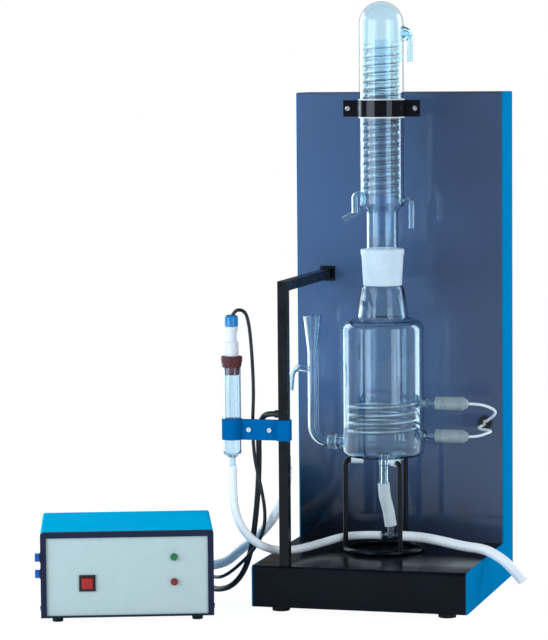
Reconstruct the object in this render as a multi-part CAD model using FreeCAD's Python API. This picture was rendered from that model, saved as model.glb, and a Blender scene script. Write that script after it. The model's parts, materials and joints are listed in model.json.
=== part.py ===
# Quartz water still: boiler, condenser, feed funnel, level sensor, stand and controller box.
# Millimetres, +Z up. Built about the centre of the stand's footprint, then moved so that the
# origin is at the bottom centre of the whole object, hoses and cables left out.
import FreeCAD, Part
import os
from math import acos, cos, pi, radians, sin, tan

V = FreeCAD.Vector
UP, RIGHT, BACK = V(0, 0, 1), V(1, 0, 0), V(0, 1, 0)

# Clearances and common thicknesses
GAP = 0.3            # between curved faces of neighbouring pieces
PIN_FIT = 0.06       # radial, for a rod in its hole
SHEET = 2.0          # folded steel sheet
FOLD = 5.0           # outer radius of a fold
FLANGE = 12.0        # folded-in edge of a side sheet
SCREW_D, SCREW_HEAD_D, SCREW_HEAD_H = 4.0, 7.5, 2.4
SCREW_HOLE = 0.25    # radial clearance of a screw hole

# Stand
STAND_W, STAND_D, STAND_H = 340.0, 370.0, 800.0
FOOT_H, FOOT_D, FOOT_INSET_X, FOOT_INSET_Y = 10.0, 30.0, 38.0, 34.0
BASE_H, CABINET_D = 64.0, 80.0
VENT_W, VENT_H, VENT_PITCH, VENT_COUNT = 110.0, 4.0, 14.0, 7

# Boiler and its tripod
AXIS_X, AXIS_Y = -3.0, 0.0           # the glass axis
TRIPOD_H = 152.5                      # base top to the boiler's underside
TRIPOD_R, RING_D, ROD_D, SLEEVE_D, SLEEVE_L = 61.0, 8.5, 8.0, 13.0, 19.0
LEG_TURNS = (188.0, 308.0, 68.0)      # degrees about the glass axis
ARM_BEND, ARM_TIP_R = 9.0, 33.0
BOILER_R, BOILER_WALL, BODY_H = 65.0, 3.0, 219.5
NECK_R, NECK_TOP_R, NECK_H = 41.0, 34.0, 51.5
SOCKET_H, SOCKET_R, SOCKET_RIM_R = 57.5, 33.0, 34.4
TAPER_R, TAPER_H, TAPER_SLOPE = 30.0, 46.0, 0.05   # ground joint 60/46, taper one in ten
HEATER_TUBE, HEATER_R, HEATER_PITCH, HEATER_TURNS = 8.0, 54.0, 13.0, 4
HEATER_Z = 33.0                       # lower end above the boiler's underside
SEAL_D, SEAL_L = 13.0, 20.0
INSULATOR_D, INSULATOR_L, INSULATOR_TAPER = 21.5, 44.0, 8.0
LEAD_D = 4.4
LEAD_HIGH_STEPS = ((14.0, -2.0, 0.5), (30.0, 8.0, -4.0), (42.0, 30.0, -16.0))   # from the sleeve's tip
LEAD_LOW_STEPS = ((14.0, -2.0, 0.5), (26.0, 10.0, 4.0), (33.0, 34.0, 6.0))
GROMMET_INSET, GROMMET_Z, GROMMET_R, GROMMET_LIP = 30.0, 269.6, 8.0, 3.0

# Feed funnel, its joint and the drain
NOZZLE_D, NOZZLE_WALL, NOZZLE_Z = 17.0, 2.0, 20.0
FEED_OFFSET, FEED_BEND, FEED_H = 115.0, 24.0, 201.0
FUNNEL_R, FUNNEL_H = 15.0, 57.0
COUPLING_L, COUPLING_WALL = 15.0, 2.6
SPOUT_D, SPOUT_WALL = 10.0, 1.5
DRAIN_L, DRAIN_D, DRAIN_RIDGES = 45.0, 15.0, 6

# Condenser
JACKET_R, JACKET_WALL = 35.0, 2.5
JACKET_BASE, JACKET_TOP, NECK_TUBE_R = 124.0, 446.0, 25.5   # heights above the socket's foot
COIL_TUBE, COIL_PITCH, COIL_TURNS = 10.0, 12.6, 19
STEAM_TUBE_R, STEAM_TUBE_WALL = 15.0, 2.0
HOOK_D, HOOK_WALL, ARCH_R = 9.5, 1.5, 7.0
ARCH_X, ARCH_Y, ARCH_RISE, ARCH_DROP = 25.0, -24.5, 21.0, 9.0
HOOK_OUT, HOOK_ROOT, HOOK_KNEE, HOOK_TIP, HOOK_BEND = 12.0, 9.0, 32.0, 34.0, 7.5
VENT_D, VENT_DOWN, VENT_TIP, VENT_BEND, VENT_ROOT_R = 12.0, 51.0, 44.0, 11.0, 13.0
SPOUT_ROOT, SPOUT_L, SPOUT_BORE = (-20.0, -7.0, 2.0), 46.0, 6.9
SPOUT_SLANT = (-0.83, -0.30, -0.47)

# Condenser clamp
CLAMP_Z, CLAMP_H, CLAMP_T, LINER_T, LINER_OVER = 776.0, 26.0, 1.8, 1.3, 2.0
EAR_X, EAR_END = 54.5, 61.7
CLAMP_ARM_D, CLAMP_FLANGE_D, CLAMP_FLANGE_T = 14.0, 38.0, 4.0

# Post, level sensor and its bracket
POST_X, POST_Y, POST_W, POST_WALL, POST_H = -119.0, -172.0, 15.0, 1.5, 441.0
POST_GLAND_Z, POST_GLAND_L, POST_TAIL_Z, POST_TAIL_FLANGE_R = 309.6, 7.0, 244.0, 6.0
ARM_FLANGE_W, ARM_FLANGE_T = 24.0, 3.0
SENSOR_X, CHAMBER_R, CHAMBER_WALL, CHAMBER_Z, CHAMBER_H = -202.5, 14.0, 1.8, 241.0, 140.0
NIPPLE_R, NIPPLE_L = 5.0, 14.0
STOPPER_R, STOPPER_H, STOPPER_PLUG = 16.5, 17.0, 12.0
BODY_STEPS = ((11.0, 22.0), (8.5, 16.0), (10.0, 8.0))   # radius and height of each step
CAP_R, CAP_H = 10.5, 18.0
ELECTRODE_D, ELECTRODE_PITCH, ELECTRODE_LENGTHS = 2.0, 8.0, (95.0, 125.0)
BRACKET_Z, BRACKET_H, BRACKET_T, BRACKET_WEB, BRACKET_SLIT = 268.5, 32.0, 2.0, 2.5, 1.0
BRACKET_SCREWS = (-174.8, -141.9)

# Hoses and cables
SENSOR_HOSE_D, WATER_HOSE_D, DRAIN_HOSE_D, DROP_HOSE_D = 13.0, 15.0, 16.0, 19.0
SENSOR_CABLE_D, HEATER_CABLE_D = 5.5, 9.0
TEE_X, TEE_Y, TEE_Z, TEE_D, TEE_ARM = 7.0, 6.0, 97.0, 11.0, 16.0

# Controller box, in its own frame: front towards -Y, centred, on the floor
CTRL_W, CTRL_D, CTRL_H, CTRL_T = 264.0, 206.0, 131.0, 1.5
CTRL_X, CTRL_Y, CTRL_TURN = -365.0, -208.0, 18.5
CTRL_FOOT_H, CTRL_FOOT_D, CTRL_FOOT_INSET = 9.0, 18.0, 25.0
BEZEL_SIDE, BEZEL_TOP, BEZEL_FOOT, BEZEL_DEPTH = 9.0, 8.5, 3.0, 10.0
PANEL_RECESS, PANEL_T = 3.0, 2.0
BUTTON_X, BUTTON_Z, BUTTON_W, BUTTON_TRAVEL = -61.0, 61.7, 17.0, 3.0
BUTTON_GAP, HOUSING_RIM, HOUSING_RIM_T, HOUSING_L = 0.4, 25.0, 2.5, 20.0
LAMP_X, LAMP_GREEN_Z, LAMP_RED_Z, LAMP_D, LAMP_L = 71.5, 99.8, 61.6, 9.0, 14.0
FUSE_Y, FUSE_HIGH_Z, FUSE_LOW_Z = -62.0, 96.0, 70.5
FUSE_CAP_D, FUSE_CAP_L, FUSE_BODY_D, FUSE_BODY_L, FUSE_STEM_D = 13.0, 7.0, 11.0, 30.0, 7.0
GLAND_D, GLAND_L = 16.0, 12.0
INLET_X, INLET_Z, INLET_W, INLET_H, INLET_L = -20.0, 70.0, 48.0, 28.0, 22.0
TAIL_X, TAIL_Z, TAIL_R, TAIL_OUT, TAIL_REACH, TAIL_BEND = 100.0, 48.0, 5.5, 14.0, 20.0, 6.2
CABLE_EXIT_Z, SENSOR_EXIT_X, HEATER_EXIT_X = 88.0, 75.0, 45.0
BOARD_W, BOARD_D, BOARD_T, BOARD_Z = 150.0, 110.0, 1.6, 14.0
TRANSFORMER, RELAY = (52.0, 44.0, 46.0), (28.0, 30.0, 26.0)

# Heights and planes that follow
BASE_Z = FOOT_H
TOP_Z = FOOT_H + BASE_H
FRONT_Y, REAR_Y = -STAND_D / 2, STAND_D / 2
PANEL_Y = REAR_Y - CABINET_D
SIDE_X = STAND_W / 2 - SHEET
BOILER_Z = TOP_Z + TRIPOD_H
NECK_Z = BOILER_Z + BODY_H
SOCKET_Z = NECK_Z + NECK_H
POST_TOP = TOP_Z + POST_H
ARM_Z = POST_TOP - POST_W / 2
GROMMET = V(STAND_W / 2 - GROMMET_INSET, PANEL_Y, GROMMET_Z)

parts = {}
corded = []


def box(x0, x1, y0, y1, z0, z1):
    """Block between two corners."""
    return Part.makeBox(x1 - x0, y1 - y0, z1 - z0, V(x0, y0, z0))


def rod(start, end, radius):
    """Cylinder from one point to another."""
    return Part.makeCylinder(radius, (end - start).Length, start, end - start)


def cone(start, end, radius_0, radius_1):
    """Cone frustum from one point to another."""
    return Part.makeCone(radius_0, radius_1, (end - start).Length, start, end - start)


def joined(shapes):
    """Separate solids in one node."""
    return Part.makeCompound(list(shapes))


def fused(first, *others):
    """One solid out of overlapping ones."""
    return first.multiFuse(list(others)).removeSplitter()


def corner_arc(before, corner, after, radius):
    """The two tangent points and the middle of an arc that rounds a corner."""
    a, b = (before - corner).normalize(), (after - corner).normalize()
    half = acos(max(-1.0, min(1.0, a.dot(b)))) / 2
    reach = radius / tan(half)
    middle = corner + (a + b).normalize() * (radius / sin(half) - radius)
    return corner + a * reach, middle, corner + b * reach


def rounded_path(points, radii, closed=False):
    """Straight runs joined by tangent arcs; radii has one value per point, 0 for a sharp one."""
    count = len(points)
    ends = []
    for i, point in enumerate(points):
        inner = closed or 0 < i < count - 1
        if inner and radii[i] > 0:
            ends.append(corner_arc(points[i - 1], point, points[(i + 1) % count], radii[i]))
        else:
            ends.append((point, None, point))
    edges = []
    for i in range(count):
        start, middle, stop = ends[i]
        if middle is not None:
            edges.append(Part.Arc(start, middle, stop).toShape())
        if i < count - 1 or closed:
            after = ends[(i + 1) % count][0]
            if (after - stop).Length > 1e-6:
                edges.append(Part.LineSegment(stop, after).toShape())
    return Part.Wire(edges)


def lathe(profile, x=AXIS_X, y=AXIS_Y):
    """Solid of revolution about a vertical axis, from (radius, height, rounding) points."""
    points = [V(x + r, y, z) for r, z, f in profile]
    wire = rounded_path(points, [f for r, z, f in profile], closed=True)
    return Part.Face(wire).revolve(V(x, y, 0), UP, 360)


def pipe(points, radii, radius):
    """Round bar swept along straight runs and arcs."""
    path = rounded_path(points, radii)
    first = (points[1] - points[0]).normalize()
    ring = Part.Wire([Part.makeCircle(radius, points[0], first)])
    return path.makePipeShell([ring], True, False)


def folded(outline, radii, thickness, x0, x1):
    """Sheet folded along X: outline is the outer (y, z) line and the sheet lies on its right side."""
    outer = [V(x0, y, z) for y, z in outline]
    inner, inner_radii = [], []
    for i, p in enumerate(outer):
        before = (p - outer[i - 1]).normalize() if i > 0 else None
        after = (outer[i + 1] - p).normalize() if i < len(outer) - 1 else None
        sides = [V(0, d.z, -d.y) for d in (before, after) if d is not None]
        inner.append(p + (sides[0] if len(sides) == 1 else sides[0] + sides[1]) * thickness)
        inner_radii.append(max(radii[i] - thickness, 0.0))
    wire = rounded_path(outer + inner[::-1], list(radii) + inner_radii[::-1], closed=True)
    return Part.Face(wire).extrude(V(x1 - x0, 0, 0))


def screw(seat, direction, length):
    """Pan-head screw: its head stands on the seat, its shank goes the other way."""
    out = V(direction).normalize()
    head = rod(seat, seat + out * SCREW_HEAD_H, SCREW_HEAD_D / 2)
    shank = rod(seat - out * length, seat, SCREW_D / 2)
    slot = rod(seat + out * (SCREW_HEAD_H - 1.0), seat + out * (SCREW_HEAD_H + 1), 1.2)
    return head.fuse(shank).cut(slot)


def drilled(shape, points, direction, depth, radius=SCREW_D / 2 + SCREW_HOLE):
    """The shape with a round hole centred on each point along a direction."""
    out = V(direction).normalize()
    for point in points:
        shape = shape.cut(rod(point - out * depth, point + out * depth, radius))
    return shape


def wound(radius, pitch, turns, diameter):
    """Tube wound as a helix about Z, its round section made of four arcs."""
    rim = [V(radius + diameter / 2 * cos(i * pi / 4), 0, diameter / 2 * sin(i * pi / 4)) for i in range(9)]
    section = Part.Wire([Part.Arc(rim[i], rim[i + 1], rim[i + 2]).toShape() for i in (0, 2, 4, 6)])
    return Part.makeHelix(pitch, pitch * turns, radius).makePipeShell([section], True, True)


def cord(name, points, diameter):
    """Free cord: straight runs joined by arcs as large as both runs allow."""
    points = [V(*p) for p in points]
    radii = [0.0]
    for before, here, after in zip(points, points[1:], points[2:]):
        a, b = here - before, after - here
        turn = a.getAngle(b)
        radii.append(0.45 * min(a.Length, b.Length) / tan(turn / 2))
    radii.append(0.0)
    shape = pipe(points, radii, diameter / 2)
    length = rounded_path(points, radii).Length
    ratio = shape.Volume / (length * pi * diameter ** 2 / 4)
    least = min(radii[1:-1]) / diameter
    runs = [(q - p).Length for p, q in zip(points, points[1:])]
    uneven = max(max(a / b, b / a) for a, b in zip(runs, runs[1:]))
    print("%-13s length %6.1f  volume ratio %.4f  least radius %.1f d  longest run %.0f  "
          "run ratio %.2f" % (name, length, ratio, least, max(runs), uneven))
    print("   radii", [round(r) for r in radii[1:-1]])
    parts[name] = shape
    corded.append(name)
    return shape


def stand():
    """Base, cabinet, feet and the screws of the rear cover."""
    plate = box(-SIDE_X, SIDE_X, FRONT_Y + SHEET, REAR_Y, BASE_Z, BASE_Z + SHEET)
    cover_line = [(FRONT_Y, BASE_Z), (FRONT_Y, TOP_Z), (REAR_Y - 2 * SHEET - GAP, TOP_Z)]
    cover = folded(cover_line, [0, FOLD, 0], SHEET, -SIDE_X, SIDE_X)
    panel_line = [(PANEL_Y, TOP_Z), (PANEL_Y, STAND_H), (REAR_Y - SHEET, STAND_H)]
    panel = folded(panel_line, [0, FOLD, 0], SHEET, -SIDE_X, SIDE_X)
    rear = box(-SIDE_X, SIDE_X, REAR_Y - SHEET, REAR_Y, BASE_Z + SHEET, STAND_H)
    for z_first in (TOP_Z + 60, STAND_H - 60 - VENT_COUNT * VENT_PITCH):
        for i in range(VENT_COUNT):
            z = z_first + i * VENT_PITCH
            rear = rear.cut(box(-VENT_W / 2, VENT_W / 2, REAR_Y - 2 * SHEET, REAR_Y + 1, z, z + VENT_H))
    screw_z = [TOP_Z + 30, (TOP_Z + STAND_H) / 2, STAND_H - 30]
    screw_x = SIDE_X - FLANGE / 2
    seats = [V(side * screw_x, REAR_Y, z) for side in (-1, 1) for z in screw_z]
    feet_at = [V(i * (STAND_W / 2 - FOOT_INSET_X), j * (STAND_D / 2 - FOOT_INSET_Y), 0)
               for i in (-1, 1) for j in (-1, 1)]
    feet = []
    for at in feet_at:
        foot = cone(at, at + UP * FOOT_H, FOOT_D / 2 - 1.5, FOOT_D / 2)
        stud = rod(at + UP * FOOT_H, at + UP * (FOOT_H + 3 * SHEET), SCREW_D / 2)
        feet.append(foot.fuse(stud))
        plate = plate.cut(rod(at, at + UP * (BASE_Z + 2 * SHEET), SCREW_D / 2 + SCREW_HOLE))
    for side, name in ((-1, "cheek_left"), (1, "cheek_right")):
        line = [(FRONT_Y, BASE_Z), (REAR_Y, BASE_Z), (REAR_Y, STAND_H), (PANEL_Y, STAND_H),
                (PANEL_Y, TOP_Z), (FRONT_Y, TOP_Z)]
        points = [V(side * SIDE_X, y, z) for y, z in line]
        sheet = Part.Face(rounded_path(points, [2, 2, FOLD, FOLD, 0, FOLD], closed=True))
        cheek = sheet.extrude(V(side * SHEET, 0, 0))
        x0, x1 = sorted((side * (SIDE_X + SHEET / 2), side * (SIDE_X - FLANGE)))
        inside = [box(x0, x1, PANEL_Y + SHEET, PANEL_Y + 2 * SHEET, TOP_Z + FOLD, STAND_H - 2 * FOLD),
                  box(x0, x1, REAR_Y - 2 * SHEET, REAR_Y - SHEET, BASE_Z + 2 * SHEET, STAND_H - 2 * FOLD),
                  box(x0, x1, FRONT_Y + 2 * FOLD, PANEL_Y - FOLD, TOP_Z - 2 * SHEET, TOP_Z - SHEET)]
        parts[name] = drilled(fused(cheek, *inside), seats, BACK, 4 * SHEET)
    rear = drilled(rear, seats, BACK, 4 * SHEET)
    lead_hole = V(POST_X, PANEL_Y, ARM_Z)
    panel = drilled(panel, [lead_hole], BACK, 2 * SHEET, POST_W / 2 - POST_WALL)
    panel = drilled(panel, [GROMMET], BACK, 2 * SHEET, GROMMET_R)
    screws = [screw(seat, BACK, 3 * SHEET) for seat in seats]
    parts.update(base_plate=plate, base_cover=cover, cabinet_front=panel, cabinet_back=rear)
    return feet, screws


def tripod():
    """Base ring with three welded legs whose tops bend inwards, each arm in a silicone sleeve."""
    centre = V(AXIS_X, AXIS_Y, TOP_Z + RING_D / 2)
    ring = Part.makeTorus(TRIPOD_R, RING_D / 2, centre, UP)
    arm_z = BOILER_Z - GAP - SLEEVE_D / 2
    legs, sleeves = [], []
    for turn in LEG_TURNS:
        out = V(cos(radians(turn)), sin(radians(turn)), 0)
        foot, top = centre + out * TRIPOD_R, V(AXIS_X, AXIS_Y, arm_z) + out * TRIPOD_R
        tip = V(AXIS_X, AXIS_Y, arm_z) + out * ARM_TIP_R
        legs.append(pipe([foot, top, tip], [0, ARM_BEND, 0], ROD_D / 2))
        start = tip - out * 1.0
        solid = rod(start, start + out * SLEEVE_L, SLEEVE_D / 2)
        bore = rod(tip, start + out * (SLEEVE_L + 1), ROD_D / 2 + PIN_FIT)
        sleeves.append(solid.cut(bore))
    parts["tripod"] = fused(ring, *legs)
    parts["rest_sleeves"] = joined(sleeves)


def taper(z):
    """Radius of the ground joint at a height: it narrows downwards from the socket's mouth."""
    return TAPER_R - (SOCKET_Z + SOCKET_H - 2 - z) * TAPER_SLOPE


def boiler():
    """Quartz vessel, ground socket, side nozzles, drain and the heater."""
    w = BOILER_WALL
    outer = lathe([(0, BOILER_Z, 0), (BOILER_R, BOILER_Z, 10), (BOILER_R, NECK_Z - 6, 16),
                   (NECK_R, NECK_Z, 5), (NECK_TOP_R, SOCKET_Z - 3.5, 2), (SOCKET_R - 2.5, SOCKET_Z, 0),
                   (0, SOCKET_Z, 0)])
    inner = lathe([(0, BOILER_Z + w, 0), (BOILER_R - w, BOILER_Z + w, 7),
                   (BOILER_R - w, NECK_Z - 6 - w, 13), (NECK_R - w, NECK_Z - w, 4),
                   (NECK_TOP_R - w, SOCKET_Z - 4, 0), (SOCKET_R - 2.5 - w, SOCKET_Z, 0), (0, SOCKET_Z, 0)])
    vessel = outer.cut(inner)
    feed_z, drain_top = BOILER_Z + NOZZLE_Z, V(AXIS_X, AXIS_Y, BOILER_Z)
    wall_in = V(AXIS_X - BOILER_R + w + 0.5, AXIS_Y, feed_z)
    feed_end = V(AXIS_X - BOILER_R - COUPLING_L - 4, AXIS_Y, feed_z)
    feed = rod(wall_in, feed_end, NOZZLE_D / 2)
    bulge = Part.makeSphere(NOZZLE_D / 2 + 2, V(AXIS_X - BOILER_R - 4.5, AXIS_Y, feed_z))
    feed = fused(feed, bulge.common(box(-200, AXIS_X - BOILER_R - 1, -50, 50, 0, 999)))
    feed_bore = rod(wall_in + RIGHT, feed_end - RIGHT, NOZZLE_D / 2 - NOZZLE_WALL)
    vessel = vessel.cut(rod(wall_in + RIGHT * 6, feed_end, NOZZLE_D / 2))
    feed = feed.cut(feed_bore)

    drain_low = drain_top - UP * DRAIN_L
    drain_radius = DRAIN_D / 2
    drain = fused(rod(drain_low, drain_top + UP * w, drain_radius - 1.5),
                  cone(drain_top - UP * 14, drain_top, drain_radius, drain_radius + 3))
    pitch = (DRAIN_L - 16) / DRAIN_RIDGES
    for i in range(DRAIN_RIDGES):
        z = drain_low + UP * (i * pitch)
        drain = drain.fuse(cone(z, z + UP * pitch * 0.8, drain_radius - 1.2, drain_radius))
    vessel = vessel.cut(rod(drain_top - UP, drain_top + UP * (w + 1), drain_radius - 1.5))
    drain = drain.cut(rod(drain_low - UP, drain_top + UP * (w + 1), drain_radius - 4.5))

    seals = []
    heater_low = BOILER_Z + HEATER_Z
    heater_high = heater_low + HEATER_PITCH * HEATER_TURNS
    coil = wound(HEATER_R, HEATER_PITCH, HEATER_TURNS, HEATER_TUBE)
    coil.translate(V(AXIS_X, AXIS_Y, heater_low))
    stubs = []
    for z in (heater_low, heater_high):
        at = V(AXIS_X + BOILER_R - w, AXIS_Y, z)
        root, end = at + RIGHT * 0.5, at + RIGHT * (w + SEAL_L)
        seal = fused(rod(root, end, SEAL_D / 2), cone(at + RIGHT * w, at + RIGHT * (w + 7), SEAL_D / 2 + 3,
                                                      SEAL_D / 2))
        vessel = vessel.cut(rod(at - RIGHT * 3, at + RIGHT * 20, SEAL_D / 2))
        vessel = vessel.cut(cone(at + RIGHT * w, at + RIGHT * (w + 7), SEAL_D / 2 + 3, SEAL_D / 2))
        seals.append(seal.cut(rod(root - RIGHT, end + RIGHT, HEATER_TUBE / 2 + PIN_FIT)))
        start = V(AXIS_X + HEATER_R + HEATER_TUBE / 2 + 0.1, AXIS_Y, z)
        stubs.append(rod(start, end + RIGHT * (INSULATOR_L / 2), HEATER_TUBE / 2))
    parts["boiler_vessel"] = vessel
    parts["boiler_nozzles"] = joined([feed, drain] + seals)
    parts["heater_coil"] = joined([coil] + stubs)

    mouth = SOCKET_Z + SOCKET_H
    foot_r = taper(mouth - 2 - TAPER_H)
    socket = lathe([(foot_r - 0.2, SOCKET_Z, 0), (SOCKET_R - 2.5, SOCKET_Z, 0), (SOCKET_R, mouth - 12, 6),
                    (SOCKET_RIM_R, mouth - 7, 2), (SOCKET_RIM_R, mouth, 2), (taper(mouth) + 0.6, mouth, 0),
                    (taper(mouth - 2), mouth - 2, 0), (foot_r, mouth - 2 - TAPER_H, 0)])
    parts["ground_socket"] = socket

    sleeves, ends = [], []
    for z in (heater_low, heater_high):
        start = V(AXIS_X + BOILER_R + SEAL_L + GAP, AXIS_Y, z)
        body = rod(start, start + RIGHT * INSULATOR_L, INSULATOR_D / 2)
        tip = start + RIGHT * INSULATOR_L
        nose = cone(tip, tip + RIGHT * INSULATOR_TAPER, INSULATOR_D / 2, INSULATOR_D / 4)
        bore = rod(start - RIGHT, start + RIGHT * (INSULATOR_L / 2 + 1), HEATER_TUBE / 2 + PIN_FIT)
        sleeves.append(fused(body, nose).cut(bore))
        ends.append(tip + RIGHT * INSULATOR_TAPER)
    parts["insulator_sleeves"] = joined(sleeves)
    return ends


def heater_leads(ends):
    """Two flexible leads that hang from the sleeves to the grommet in the panel, and what they reach."""
    gx, gy, gz = GROMMET
    shift = LEAD_D / 2 + 0.3
    low, high = ends
    routes = (("heater_lead_upper", high, 1, LEAD_HIGH_STEPS, 2 * LEAD_D),
              ("heater_lead_lower", low, -1, LEAD_LOW_STEPS, -1.5 * LEAD_D))
    for name, end, side, steps, out in routes:
        goal = V(gx, gy, gz + side * shift)
        before = goal + V(out, -8.5 * LEAD_D, side * 3)
        cord(name, [end] + [end + V(*step) for step in steps] + [before, goal - BACK * 14, goal + BACK * 20], LEAD_D)
    inside, lip = GROMMET + BACK * SHEET, BACK * GROMMET_LIP
    grommet = fused(rod(GROMMET - lip, GROMMET, GROMMET_R + GROMMET_LIP), rod(GROMMET, inside, GROMMET_R - GAP),
                    rod(inside, inside + lip, GROMMET_R + GROMMET_LIP))
    for side in (1, -1):
        at = V(gx, gy, gz + side * shift)
        grommet = grommet.cut(rod(at - BACK * 20, at + BACK * 20, LEAD_D / 2 + PIN_FIT))
    parts["lead_grommet"] = grommet
    block_y = gy + 20 + GAP
    block = box(gx - 30, gx + 12, block_y, block_y + 14, gz - 12, gz + 12)
    for i in range(4):
        x = gx - 25 + i * 10.5
        block = block.cut(rod(V(x, block_y - 1, gz + 7), V(x, block_y + 6, gz + 7), 2.2))
    carrier = box(gx - 30, SIDE_X - FLANGE, block_y + 14, block_y + 14 + SHEET, gz - 12, gz + 12)
    strap = box(SIDE_X - FLANGE - SHEET, SIDE_X - FLANGE, PANEL_Y + SHEET, block_y + 14 + SHEET,
                gz - 12, gz + 12)
    parts["terminal_block"] = joined([block, fused(carrier, strap)])


def feed_funnel():
    """Funnel, down tube and elbow in one glass tube, with an overflow spout, and its coupling."""
    x, y, z = AXIS_X - FEED_OFFSET, AXIS_Y, BOILER_Z + NOZZLE_Z
    radius, wall = NOZZLE_D / 2, NOZZLE_WALL
    end_x = AXIS_X - BOILER_R - COUPLING_L - 4.2
    neck_z, mouth_z = z + FEED_H - FUNNEL_H, z + FEED_H
    line = [V(end_x, y, z), V(x, y, z), V(x, y, neck_z)]
    tube = pipe(line, [0, FEED_BEND, 0], radius)
    bore = pipe([V(end_x + 1, y, z), V(x, y, z), V(x, y, neck_z + 1)], [0, FEED_BEND, 0], radius - wall)
    funnel = lathe([(0, neck_z - 1, 0), (radius, neck_z - 1, 0), (FUNNEL_R - 1.5, mouth_z - 12, 12),
                    (FUNNEL_R, mouth_z, 0), (0, mouth_z, 0)], x, y)
    hollow = lathe([(0, neck_z - 2, 0), (radius - wall, neck_z - 2, 0), (FUNNEL_R - 1.5 - wall, mouth_z - 12, 12),
                    (FUNNEL_R - wall, mouth_z + 1, 0), (0, mouth_z + 1, 0)], x, y)
    spout_z = mouth_z - 86
    spout_line = [V(x - 3, y, spout_z), V(x - 33, y, spout_z + 3), V(x - 37, y, spout_z - 34)]
    spout = pipe(spout_line, [0, 13, 0], SPOUT_D / 2)
    spout_bore = pipe(spout_line, [0, 13, 0], SPOUT_D / 2 - SPOUT_WALL)
    body = fused(tube, funnel, spout)
    parts["feed_funnel"] = body.cut(bore).cut(hollow).cut(spout_bore)
    middle = end_x + 0.1
    a, b = V(middle - COUPLING_L / 2, y, z), V(middle + COUPLING_L / 2, y, z)
    outer = rod(a, b, radius + COUPLING_WALL).fuse(rod(a, a + RIGHT * 3, radius + COUPLING_WALL + 1.2))
    outer = outer.fuse(rod(b - RIGHT * 3, b, radius + COUPLING_WALL + 1.2))
    parts["feed_coupling"] = outer.cut(rod(a - RIGHT, b + RIGHT, radius + PIN_FIT))


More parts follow.
